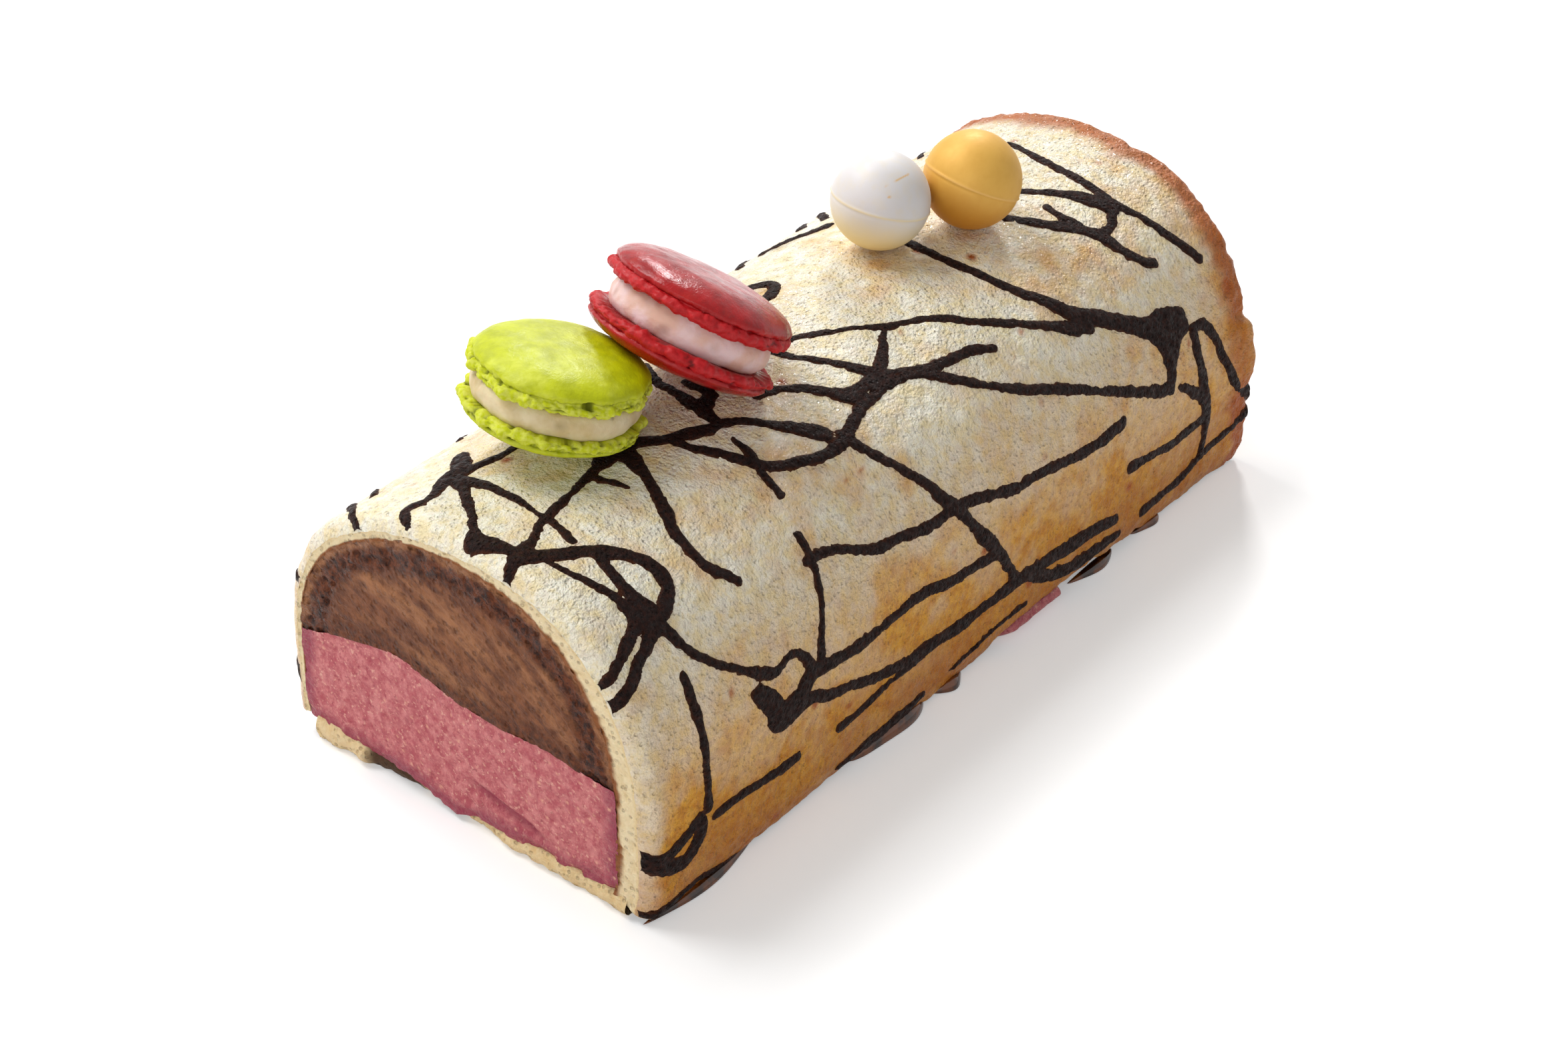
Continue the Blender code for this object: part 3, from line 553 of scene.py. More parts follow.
def stroke_look():
    """Red: the browner edge of a stroke."""
    look = Look("chocolate_stroke", "sponge")
    base = look.mix(look.band(look.noise(1.0, 3.0, 0.7), 0.40, 0.78), srgb(24, 10, 7), srgb(56, 28, 20))
    rim, _, _ = look.tone()
    look.colour(look.mix(rim, base, srgb(84, 44, 22)))
    look.roughness(look.band(look.noise(1.2, 2.0), 0.35, 0.65, 0.34, 0.72))
    look.bump(look.plus(look.noise(0.8, 3.0, 0.75), look.band(look.spots(1.0), 0.0, 0.4)), 1.0, 0.8)
    look.set(spec=0.10)
    return look


def shell_look(name, slot, main, shade, foot_light, bloom_and_sheen, rough, spec):
    """Macaron shell. Red: rough foot. Green: paler patches towards the edge, partly the shell's own paler tone,
    partly painted sheen. Blue: painted shade in crevices and on the flat inside face.
    """
    look = Look(name, slot)
    foot, pale, crevice_shade = look.tone()
    base = look.mix(look.band(look.noise(4.0, 4.0, 0.6), 0.35, 0.68), main, shade)
    base = look.mix(pale, base, bloom_and_sheen)
    base = look.mix(foot, base, look.mix(look.band(look.noise(0.9, 3.0), 0.35, 0.65), foot_light, main))
    # painted shade in crevices and on the inside face
    base = look.mix(crevice_shade, base, tuple(0.35 * c for c in shade))
    look.colour(base)
    dull = look.band(look.noise(3.0), 0.3, 0.7, rough, rough + 0.12)
    look.roughness(look.plus(dull, foot, 0.3))
    look.bump(look.plus(look.noise(0.7, 3.0, 0.7), look.noise(3.5, 2.0), 1.5), 0.35, 0.3)
    look.set(spec=spec)
    return look


def cream_look(name, slot, light, dark):
    """Red: dents darkened as painted shade, and specks."""
    look = Look(name, slot)
    dent, _, _ = look.tone()
    base = look.mix(look.band(look.noise(6.0, 3.0), 0.36, 0.70), light, dark)
    look.colour(look.mix(dent, base, tuple(0.55 * c for c in dark)))
    look.bump(look.plus(look.noise(1.2, 3.0, 0.6), look.noise(4.0, 2.0)), 0.4, 0.35)
    look.set(rough=0.45, sss=0.1, sss_scale=0.003, spec=0.3)
    return look


def ball_look(name, slot, top, low, seam, metal, rough):
    """Red: down the ball's underside, painted shade and painted reflection of the golden board. Green: thin
    scratches. Blue: the seam.
    """
    look = Look(name, slot)
    under, scratch, ridge = look.tone()
    # painted shade and painted reflection: the low colour down the underside
    base = look.mix(under, top, low)
    base = look.mix(look.maths("MULTIPLY", look.band(look.noise(2.5, 3.0), 0.4, 0.7), 0.12), base, low)
    base = look.mix(scratch, base, srgb(226, 176, 92))
    base = look.mix(ridge, base, seam)
    look.colour(base)
    look.roughness(look.band(look.noise(1.0, 2.0), 0.3, 0.7, rough, rough + 0.06))
    look.bump(look.noise(0.5, 2.0), 0.12, 0.1)
    look.set(metal=metal, spec=0.4)
    return look


# ---- pieces ----
def rounding(depth, radius):
    """How far a rounded edge falls back, `depth` mm in from the cut."""
    left = np.clip(radius - depth, 0.0, radius)
    return radius - np.sqrt(radius**2 - left**2 * 0.97)


def sheet_relief(x, p):
    """Slow unevenness of the sheet, mm outwards, which the strokes follow too."""
    far = smooth(BACK - FAR_RIM, BACK, x)
    near = 1.0 - smooth(FRONT, FRONT + CUT_SOFT, x)
    return (0.30 * fractal(p, 13.0, 2, 5) + 0.10 * noise(p, 4.0, 9)
            + far * (0.5 * fractal(p, 5.0, 3, 41) + 0.35)
            - 0.35 * near * (0.6 + 0.6 * noise(p, 3.0, 43)) - rounding(x - FRONT, EDGE_ROUND))


def sponge_wrap():
    """The sheet's outside, with its crumbly far rim and the loose flap there. Gives its points."""
    rows, columns = SKIN_GRID
    xs = np.concatenate([FRONT + 4.0 * np.linspace(0.0, 1.0, 16, endpoint=False) ** 1.5,
                         np.linspace(FRONT + 4.0, BACK - 4.0, rows - 28, endpoint=False),
                         np.linspace(BACK - 4.0, BACK - 0.6, 12)])
    right = np.interp(xs, skin.xs, skin.ends[:, 0])
    left = np.interp(xs, skin.xs, skin.ends[:, 1])
    v = np.linspace(0.0, 1.0, columns)
    run = right[:, None] + (left - right)[:, None] * v[None]
    x = np.repeat(xs[:, None], columns, 1)
    p = skin.point(x, run)
    n = skin.normal(x, run)
    far = smooth(BACK - FAR_RIM, BACK, x)
    pores = np.clip(0.42 - cells(p, 2.6, 3), 0.0, None) * smooth(-0.2, 0.5, noise(p, 9.0, 21))
    grain = 0.22 * fractal(p, 2.3, 2, 31, 0.8)
    push = sheet_relief(x, p) - 0.9 * pores + grain - rounding(BACK - x, FAR_EDGE_ROUND)
    notch = np.exp(-(((run - 57.5 - 0.3 * (x - 96.0)) / 1.2) ** 2)) * smooth(95.0, 100.0, x)
    flap = smooth(57.0, 60.0, run) * (1 - smooth(70.0, 78.0, run)) * smooth(94.0, 101.0, x)
    push += 1.5 * flap - 1.6 * notch
    ragged = fractal(np.stack([x * 0, p[..., 1], p[..., 2]], -1), 6.0, 3, 51)
    rim = smooth(BACK - 9.0 + 6.0 * ragged, BACK - 4.0, x) * (1.0 - 0.5 * flap)
    push += 0.35 * rim * fractal(p, 1.6, 2, 45, 0.9)
    p = p + n * push[..., None]
    p[..., 0] += far * (1.2 * ragged - 0.3 + 0.5 * flap)
    edge = np.exp(-((run - right[:, None]) ** 2) / 4.0)
    p[..., 2] += edge * (0.5 + 0.5 * noise(p, 3.0, 57)) * 0.8
    p[..., 2] = np.maximum(p[..., 2], 0.15)
    mottle = smooth(-0.05, 0.55, fractal(p, 8.0, 3, 61))
    # golder down the sides: partly baked colour, partly painted reflection of the golden board under the cake
    side = 0.65 * smooth(28.0, 70.0, run) + 0.35 * smooth(52.0, 90.0, run) + 0.85 * smooth(25.0, 80.0, -run)
    patch = smooth(0.0, 0.5, fractal(p, 15.0, 4, 63, 0.7)) * (1.0 - 0.4 * side)
    gold_and_reflection = unit(0.25 * mottle + 0.45 * patch + 0.92 * side + 0.2 * far)
    gold_and_reflection *= 0.45 + 0.55 * smooth(0.5, 6.0, x - FRONT + 2.0 * mottle)
    speck = smooth(0.80, 0.92, 1.0 - cells(p, 9.0, 71)) * smooth(0.1, 0.3, noise(p, 4.0, 73))
    # browner towards the foot on both sides: partly baked colour and syrup, partly painted shade and painted
    # reflection of the golden board
    low = smooth(66.0, 95.0, run) * (0.45 + 0.55 * smooth(-0.5, 0.5, fractal(p, 9.0, 3, 81)))
    low = np.maximum(low, smooth(76.0, 94.0, -run) * 0.6)
    browning_and_shade = unit(0.9 * rim + 0.7 * low + speck)
    gloss = (0.35 + 0.65 * smooth(-0.3, 0.25, fractal(p, 14.0, 3, 91))) * (1.0 - smooth(10.0, 75.0, run))
    gloss *= 1.0 - 0.8 * rim
    tone = np.stack([gold_and_reflection, browning_and_shade, gloss], -1)
    piece = add_mesh("sponge_skin", p, grid_faces(rows, columns), SPONGE.material, tone)
    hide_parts("sponge_wrap")
    return p


def ring_face(name, x, direction, outer_points):
    """The cut end of the sponge between its outside and its inside."""
    columns, count = len(outer_points), 14
    inner, _ = inner_outline(x, columns)
    t = np.linspace(0.0, 1.0, count)[:, None]
    wobble = 0.55 * fractal(np.stack([inner[:, 0] * 0 + x, inner[:, 0], inner[:, 1]], -1), 5.0, 3, 101)
    outer = outer_points[:, 1:]
    reach = inner + (outer - inner) * (0.03 * wobble[:, None] - 0.02)
    yz = outer[None] * (1 - t[..., None]) + reach[None] * t[..., None]
    p = np.concatenate([np.full(yz.shape[:-1] + (1,), x), yz], -1)
    pit = np.clip(0.50 - cells(p, 2.2, 111), 0.0, None)
    depth = 0.35 * fractal(p, 2.2, 3, 113) - 1.0 * pit
    fade = smooth(0.0, 0.30, t) * np.ones(columns)
    p[..., 0] = outer_points[None, :, 0] * (1 - fade) + (x - direction * 0.15) * fade + direction * depth * fade
    wet = smooth(0.66, 0.86, t + 0.16 * fractal(p, 2.5, 2, 117)) * np.ones(columns)
    crust = (1.0 - smooth(0.02, 0.14, t)) * np.ones(columns)
    # Green: the pits, which the look darkens as painted shade
    tone = np.stack([0.95 * wet, unit(1.6 * pit), 0.7 * crust], -1)
    piece = add_mesh(name, p, grid_faces(count, columns, flip=direction > 0), CUT.material, tone)


def inside_walls(x, grow):
    """The mousse's two sides at x up to the crown, as (y, z), `grow` mm outside the hollow."""
    inner, outer = inner_outline(x, 400)
    d = outer - inner
    d /= np.linalg.norm(d, axis=1, keepdims=True)
    points = inner + d * grow
    crown = int(np.argmax(points[:, 1]))
    return points[: crown + 1], points[crown:]


def chocolate_face(x, direction, name):
    """An end of the chocolate mousse: knife smears in the middle and a dark wet band round the rim."""
    rows, columns = CHOCOLATE_GRID
    right, left = inside_walls(x, 0.5)
    z0, z1 = layer_height(x, right[0, 0]), layer_height(x, left[-1, 0])
    y0, y1 = np.interp(z0, right[:, 1], right[:, 0]), np.interp(z1, left[::-1, 1], left[::-1, 0])
    u = 0.5 - 0.5 * np.cos(np.linspace(0.0, math.pi, columns))
    y = y0 + (y1 - y0) * u
    all_y = np.concatenate([right[:, 0], left[1:, 0]])
    all_z = np.concatenate([right[:, 1], left[1:, 1]])
    order = np.argsort(all_y)
    top = np.interp(y, all_y[order], all_z[order])
    flat = np.stack([y * 0 + x, y, top], -1)
    top = top + 0.7 * fractal(flat, 4.0, 3, 121) * smooth(28.0, 40.0, top)
    low = layer_height(x, y) + 0.25 * fractal(flat, 5.0, 3, 123)
    top = np.maximum(top, low + 0.3)
    v = np.linspace(0.0, 1.0, rows)[:, None]
    z = low[None] + (top - low)[None] * v
    p = np.stack([np.full(z.shape, x), np.repeat(y[None], rows, 0), z], -1)
    ring = np.concatenate([right, left])
    ring = ring[ring[:, 1] > 26.0][::5]
    to_rim = np.sqrt(((p[..., None, 1:] - ring) ** 2).sum(-1)).min(-1)
    rim = 1.0 - smooth(5.5, 8.5, to_rim + 2.2 * fractal(p, 5.0, 3, 127))
    under = 1.0 - smooth(1.5, 5.5, v * (top - low)[None] + 2.2 * fractal(p, 6.0, 3, 129))
    bend = 0.42 - 0.010 * (p[..., 1] - 4.0)
    flow = np.stack([p[..., 0], 0.22 * p[..., 1] + 0.10 * p[..., 2], p[..., 2] - bend * p[..., 1]], -1)
    smear = smooth(-0.25, 0.45, fractal(flow, 4.5, 4, 131)) * (1.0 - rim) * (1.0 - 0.7 * under)
    pit = np.clip(0.48 - cells(p, 2.4, 133), 0.0, None) * (0.4 + rim)
    depth = 0.45 * fractal(p, 2.6, 4, 135) * (0.45 + 0.8 * rim) + 0.28 * fractal(flow, 1.8, 3, 137) - 1.1 * pit
    p[..., 0] += direction * (depth - 0.10 - 0.25 * rim)
    outer_tan = 1.0 - smooth(1.2, 3.2, to_rim + 1.4 * fractal(p, 1.8, 2, 139))
    wet = unit(rim * smooth(-0.2, 0.4, fractal(p, 2.5, 2, 141)) + 0.2)
    dark = unit(rim * (1 - 0.9 * outer_tan) + 0.75 * under)
    tone = np.stack([dark, np.maximum(0.85 * smear, outer_tan), wet], -1)
    piece = add_mesh(name, p, grid_faces(rows, columns, flip=direction > 0), CHOCOLATE.material, tone)


def pink_bottom(y):
    """Where the pink stops above the ragged base at the cut face."""
    z = 3.6 + 1.4 * smooth(22.0, 40.0, y) - 2.4 * np.exp(-(((y - 4.0) / 7.0) ** 2))
    return z - 0.9 * np.exp(-(((y + 12.0) / 5.0) ** 2)) + 0.4 * np.exp(-(((y + 34.0) / 6.0) ** 2))


def pink_face(x, direction, name):
    """An end of the pink mousse, with a dent darkened by painted shade and darker fruity edges."""
    rows, columns = PINK_GRID
    right, left = inside_walls(x, 0.4)
    u = np.linspace(0.0, 1.0, columns)
    v = np.linspace(0.0, 1.0, rows)
    z_mid = 4.0 + 26.0 * v
    y_right = np.interp(z_mid, right[:, 1], right[:, 0])
    y_left = np.interp(z_mid, left[::-1, 1], left[::-1, 0])
    y = y_right[:, None] + (y_left - y_right)[:, None] * u[None]
    flat = np.stack([y * 0 + x, y, y * 0 + 30.0], -1)
    low = pink_bottom(y) + 0.5 * fractal(flat, 3.0, 3, 151)
    top = layer_height(x, y) + 0.25 * fractal(flat, 5.0, 3, 123) + 0.15
    z = low + (top - low) * v[:, None]
    p = np.stack([np.full(z.shape, x), y, z], -1)
    pit = np.clip(0.40 - cells(p, 3.0, 153), 0.0, None)
    dent = np.exp(-(((z - 9.0 - 0.22 * (y + 10.0)) / 1.3) ** 2))
    dent = dent * smooth(-26.0, -14.0, y) * (1 - smooth(-6.0, 2.0, y))
    depth = 0.30 * fractal(p, 3.0, 4, 155) + 0.16 * fractal(p, 1.2, 2, 157) - 0.9 * pit - 1.2 * dent
    lip = 1.0 - smooth(0.0, 2.5, z - low)
    p[..., 0] += direction * (depth - 0.15 - 0.8 * lip * smooth(-0.3, 0.5, fractal(p, 4.0, 2, 159)))
    sides = np.minimum(y - y_right[:, None], y_left[:, None] - y)
    dark = (1.0 - smooth(0.5, 5.0, sides + 2.0 * fractal(p, 4.0, 3, 161))) * 0.8
    dark = np.maximum(dark, 0.75 * (1.0 - smooth(1.0, 5.0, z - low + 2.0 * fractal(p, 5.0, 3, 163))))
    # painted shade in the dent
    dark = np.maximum(dark, 0.7 * dent)
    speck = smooth(0.80, 0.90, 1.0 - cells(p, 2.3, 165)) * smooth(0.0, 0.4, noise(p, 6.0, 167) + 0.3)
    wet = unit(dark + 0.25 * smooth(0.0, 0.5, fractal(p, 3.0, 2, 169)))
    tone = np.stack([dark, 0.8 * speck, wet], -1)
    piece = add_mesh(name, p, grid_faces(rows, columns, flip=direction > 0), PINK.material, tone)


def pink_sliver():
    """Mousse squeezed out under the lifted lower edge of the long side."""
    rows, columns = 30, 120
    x = np.linspace(6.5, 33.0, columns)
    out = smooth(6.5, 14.0, x) * (1.0 - smooth(29.0, 33.0, x))
    t = np.linspace(0.0, 1.0, rows)[:, None]
    y = -42.6 - (4.5 * out + 0.3) * np.sin(math.pi * (0.15 + 0.62 * t))
    z = 0.3 + 4.2 * t * (0.35 + 0.65 * out)
    p = np.stack([np.repeat(x[None], rows, 0), y, z], -1)
    p[..., 1] -= 0.25 * fractal(p, 2.5, 3, 171)
    speck = smooth(0.80, 0.90, 1.0 - cells(p, 2.3, 173))
    edge = 1.0 - smooth(0.04, 0.16, t + 0.05 * noise(p, 2.0, 175))
    pale = np.maximum(0.5 * speck, 0.8 * edge)
    tone = np.stack([np.full_like(speck, 0.2), pale, np.full_like(speck, 0.4)], -1)
    piece = add_mesh("pink_sliver", p, grid_faces(rows, columns), PINK.material, tone)


def base_sponge():
    """The thin sponge under the mousse, torn and uneven at its ends."""
    columns, layers = 220, 7
    y = np.linspace(-40.5, 40.0, columns)
    torn = fractal(np.stack([y * 0, y, y * 0], -1), 6.0, 3, 181)
    chunk = smooth(24.0, 28.0, y)
    cocoa = smooth(11.0, 14.0, y) * (1.0 - smooth(25.0, 28.0, y))
    bare = np.exp(-(((y - 6.0) / 5.0) ** 2))
    strip = 1.0 - smooth(-10.0, -4.0, y)
    front = FRONT + 1.6 - 1.6 * chunk + 0.4 * cocoa + 3.0 * bare - 1.2 * strip + 0.8 * torn
    back = BACK - 1.8 + 0.8 * torn[::-1]
    level = np.linspace(0.0, 1.0, layers)[:, None]
    z = 0.15 + (pink_bottom(y) + 0.5 - 0.15) * level
    swell = 0.9 * np.sin(math.pi * level)
    ends = [np.stack([edge + sign * swell, y + 0.0 * z, z], -1) for edge, sign in ((front, -1.0), (back, 1.0))]
    p = np.concatenate([ends[0], ends[1][::-1]])
    fine = 0.55 * fractal(p, 2.2, 3, 183) - 0.9 * np.clip(0.45 - cells(p, 2.0, 185), 0, None)
    p[..., 0] += np.where(p[..., 0] < 0, -fine, fine)
    # the pits, which the look darkens as painted shade
    pit = unit(1.8 * np.clip(0.45 - cells(p, 2.0, 185), 0, None))
    toast = (0.35 + 0.3 * fractal(p, 3.0, 2, 187)) * (1.0 - 0.8 * chunk)
    tone = np.stack([0.95 * cocoa * (p[..., 0] < 0), pit, toast], -1)
    faces = grid_faces(len(p), columns)
    last = (len(p) - 1) * columns
    faces += [(last + j, last + j + 1, j + 1, j) for j in range(columns - 1)]
    piece = add_mesh("base_crumb", p, faces, CRUMB.material, unit(tone))
    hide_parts("base_sponge")


def curve_points(stroke, step=0.45):
    """Smooth run through a stroke's points (Catmull-Rom), with its half width."""
    s = np.array(stroke, float)
    s = np.vstack([2 * s[0] - s[1], s, 2 * s[-1] - s[-2]])
    made = []
    for i in range(1, len(s) - 2):
        a, b, c, d = s[i - 1 : i + 3]
        count = max(int(np.hypot(*(c - b)[:2]) / step), 2)
        t = np.linspace(0.0, 1.0, count, endpoint=False)[:, None]
        made.append(0.5 * (2 * b + (c - a) * t + (2 * a - 5 * b + 4 * c - d) * t**2
                           + (3 * b - a - 3 * c + d) * t**3))
    made.append(s[-2][None])
    return np.vstack(made)


def chocolate_strokes():
    """Scribbles baked into the sheet: a thin crumbly relief wherever a stroke passes."""
    reach = 1.6
    xs = np.arange(FRONT + 0.05, BACK - 0.9, STROKE_CELL)
    runs = np.arange(-96.0, 96.0, STROKE_CELL)
    far = np.full((len(xs), len(runs)), 9.0)
    for number, stroke in enumerate(STROKES):
        c = curve_points(stroke)
        c[:, 2] = c[:, 2] * 1.02
        c[:, 2] *= 1.0 + 0.16 * noise(np.stack([c[:, 0], c[:, 1], c[:, 0] * 0 + 7.0 * number], -1), 5.0, 201)
        for cx, cr, w in c:
            i0, i1 = np.searchsorted(xs, (cx - w - reach, cx + w + reach))
            j0, j1 = np.searchsorted(runs, (cr - w - reach, cr + w + reach))
            if i0 == i1 or j0 == j1:
                continue
            d = np.hypot(xs[i0:i1, None] - cx, runs[None, j0:j1] - cr) - w
            far[i0:i1, j0:j1] = np.minimum(far[i0:i1, j0:j1], d)
    x, run = np.meshgrid(xs, runs, indexing="ij")
    p = skin.point(x, run)
    far = far + 0.55 * fractal(p, 2.0, 3, 211, 0.95) + 0.06
    hole = smooth(0.86, 0.93, 1.0 - cells(p, 8.0, 213)) * smooth(0.0, 0.3, noise(p, 20.0, 215))
    far = far + 1.5 * hole * smooth(0.6, 1.6, -far)
    right = np.interp(x, skin.xs, skin.ends[:, 0]) - 0.6
    left = np.interp(x, skin.xs, skin.ends[:, 1]) + 0.6
    allowed = (run < right) & (run > left)
    n = skin.normal(x, run)
    rise = np.where(far < 0, 0.42 * (1.0 - np.exp(far / 0.45)), np.clip(-0.9 * far, -0.6, 0.0))
    rise = rise + 0.26 * fractal(p, 1.3, 2, 221, 0.9) * smooth(0.0, 0.8, -far)
    q = p + n * (rise + sheet_relief(x, p))[..., None]
    keep = (far < 0.30) & allowed
    cells_kept = keep[:-1, :-1] | keep[1:, :-1] | keep[:-1, 1:] | keep[1:, 1:]
    cells_kept &= allowed[:-1, :-1] & allowed[1:, 1:]
    i, j = np.nonzero(cells_kept)
    w = len(runs)
    quads = np.stack([i * w + j, (i + 1) * w + j, (i + 1) * w + j + 1, i * w + j + 1], -1)
    used, index = np.unique(quads, return_inverse=True)
    quads = index.reshape(quads.shape)
    rim = smooth(-0.30, 0.05, far)
    tone = np.stack([0.7 * rim, rim * 0, rim * 0], -1).reshape(-1, 3)[used]
    piece = add_mesh("chocolate_strokes", q.reshape(-1, 3)[used], quads.tolist(), STROKE.material, tone)


def lathe(name, profile, tones, centre, axis, segments, material, wobble):
    """Turns (radius, height) points about an axis; wobble(point, row) pushes each point, in mm."""
    profile = np.array(profile, float)
    angle = np.linspace(0.0, 2 * math.pi, segments, endpoint=False)
    r, h = profile[:, 0][:, None], profile[:, 1][:, None]
    local = np.stack([r * np.cos(angle), r * np.sin(angle), h * np.ones(segments)], -1)
    d_r, d_h = np.gradient(profile[:, 0]), np.gradient(profile[:, 1])
    size = np.maximum(np.hypot(d_r, d_h), 1e-9)
    out_r, out_h = (d_h / size)[:, None], (-d_r / size)[:, None]
    normal = np.stack([out_r * np.cos(angle), out_r * np.sin(angle), out_h * np.ones(segments)], -1)
    push, tone = wobble(local, np.array(tones, float)[:, None, :] * np.ones((1, segments, 1)))
    local = local + normal * push[..., None]
    turn = np.array(Vector((0, 0, 1)).rotation_difference(Vector(axis)).to_matrix())
    p = local @ turn.T + np.array(centre)
    return add_mesh(name, p, grid_faces(len(profile), segments, wrap=True), material, tone)


def shell_profile(radius, foot, dome, sign, start):
    """Inside face, frilled foot, crease, lip and dome, each point with three masks: the foot, the paler edge
    (partly painted sheen) and painted shade in crevices.
    """
    points, masks = [], []
    for i in range(8):
        points.append((radius * 0.93 * (i + 0.02) / 8, start))
        # painted shade on the flat inside face, between shell and cream
        masks.append((0.0, 0.0, 0.4))
    for i in range(20):
        t = i / 19
        bulge = math.sin(math.pi * min(t * 1.05, 1.0)) ** 0.6
        points.append((radius * (0.945 + 0.055 * bulge), start + sign * foot * t))
        masks.append((1.0, 0.0, 0.0))
    for i in range(31):
        t = 0.5 * math.pi * i / 30
        lip = 0.95 + 0.035 * min(1.0, 5.0 * math.sin(t))
        r = max(radius * lip * max(math.cos(t), 0.0) ** 0.60, 0.01)
        points.append((r, start + sign * (foot + dome * math.sin(t))))
        # the dome's first rows, at the crease over the foot, get painted shade
        masks.append((max(0.0, 0.7 - 3.5 * i / 30), 0.0, 0.35 if i < 2 else 0.0))
    if sign < 0:
        points, masks = points[::-1], masks[::-1]
    return points, masks


def macaron(name, centre, tilt, turn, radius, fill_radius, filling, domes, shell, cream, crumble, seed):
    """Two shells and a cream. filling is the cream's depth, domes the height of each shell above its foot."""
    t, u = math.radians(tilt), math.radians(turn)
    axis = (math.sin(t) * math.cos(u), math.sin(t) * math.sin(u), math.cos(t))

    def shell_push(sd):
        def push(p, tone):
            q = p + sd * 31.0
            foot = tone[..., 0].copy()
            lump = 0.55 - cells(q, 2.3, 8)
            rough = foot * crumble * (0.75 * fractal(q, 2.0, 3, 7, 0.85) + 0.9 * np.clip(lump, -0.5, 0.3))
            rim = np.hypot(p[..., 0], p[..., 1]) / radius
            slow = 0.35 * fractal(q, 9.0, 2, 3) + 0.10 * (1.0 - foot) * fractal(q, 2.5, 2, 15)
            slow += foot * 0.5 * crumble * noise(q * np.array((1, 1, 0.2)), 4.0, 5)
            # paler patches towards the shell's edge: partly the shell's own paler tone, partly painted sheen
            bloom_and_sheen = smooth(0.0, 0.7, fractal(q, 5.0, 4, 13, 0.7)) * (1.0 - foot)
            tone[..., 1] = unit(bloom_and_sheen * smooth(0.3, 0.9, rim) + foot * 0.25)
            # painted shade where the foot's crumbs dip in
            tone[..., 2] = unit(tone[..., 2] + foot * smooth(0.12, 0.6, -rough))
            return rough + slow * smooth(0.0, 0.2, rim), tone
        return push

    parts = (("top", 1.0, 2.4, domes[0], seed, 1.0), ("base", -1.0, 1.9, domes[1], seed + 1, 1.025))
    for part, sign, foot, dome, sd, wide in parts:
        profile, masks = shell_profile(radius * wide, foot, dome, sign, sign * (filling / 2 - 0.35))
        piece = lathe(name + "_" + part + "_shell", profile, masks, centre, axis, MACARON_STEPS, shell.material,
                      shell_push(sd))
        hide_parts(name + "_" + part)

    def fill_push(p, tone):
        q = p + seed * 17.0
        side = smooth(0.6, 0.95, np.hypot(p[..., 0], p[..., 1]) / fill_radius)
        dent = np.clip(0.30 - cells(q, 6.0, 19), 0.0, None)
        # Red: dents darkened as painted shade, and specks
        tone[..., 0] = unit(side * (2.2 * dent + 0.8 * smooth(0.88, 0.94, 1.0 - cells(q, 5.0, 23))))
        return side * (0.6 * fractal(q, 8.0, 2, 9) + 0.14 * fractal(q, 1.6, 2, 11) - 1.4 * dent), tone

    half = filling / 2 - 0.1
    profile = []
    for i in range(25):
        t = i / 24
        profile.append((fill_radius * (0.90 + 0.10 * math.sin(math.pi * t) ** 0.55), half * (2 * t - 1)))
    profile = [(0.01, -half), (fill_radius * 0.5, -half)] + profile + [(fill_radius * 0.5, half), (0.01, half)]
    masks = [(0.0, 0.0, 0.0)] * len(profile)
    piece = lathe(name + "_cream", profile, masks, centre, axis, MACARON_STEPS, cream.material, fill_push)
    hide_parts(name + "_filling")


def ball(node, name, lean, look, scratched):
    """A moulded ball with a raised seam that leans by `lean` degrees, and thin scratches in its dust."""
    low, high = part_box(node)
    centre = np.array([(a + b) * 500.0 for a, b in zip(low, high)])
    t = math.radians(lean)
    axis = (math.sin(t), -0.3 * math.sin(t), math.cos(t))
    turn = np.array(Vector((0, 0, 1)).rotation_difference(Vector(axis)).to_matrix())
    profile, masks = [], []
    for i in range(BALL_ROWS + 1):
        t = math.pi * (i + 0.02) / (BALL_ROWS + 0.04)
        h = -math.cos(t)
        ridge = 0.20 * math.exp(-((h / 0.022) ** 2)) - 0.08 * math.exp(-(((h + 0.06) / 0.02) ** 2))
        profile.append(((BALL_RADIUS + ridge) * math.sin(t), (BALL_RADIUS + ridge) * h))
        # Red: towards the underside, for painted shade and painted reflection
        masks.append((float(smooth(0.15, -0.85, h)) * 0.9, 0.0, 0.8 * math.exp(-((h / 0.022) ** 2))))

    def push(p, tone):
        q = p @ turn.T / BALL_RADIUS
        a, b = q @ np.array(SCRATCH_RIGHT), q @ np.cross(SCRATCH_RIGHT, SCRATCH_INWARDS)
        line = smooth(0.028, 0.012, np.abs(b - 0.13 - 0.60 * (a - 0.05))) * (np.abs(a - 0.29) < 0.25)
        dab = smooth(0.05, 0.02, np.hypot(a - 0.14, (b + 0.06) * 1.6))
        facing = q @ np.array(SCRATCH_INWARDS) < 0
        tone[..., 1] = 0.75 * scratched * facing * np.maximum(line, dab) * smooth(-0.5, 0.1, noise(p, 0.9, 5))
        return 0.03 * noise(p, 6.0, 3), tone

    piece = lathe(name, profile, masks, centre, axis, BALL_STEPS, look.material, push)
    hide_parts(node)


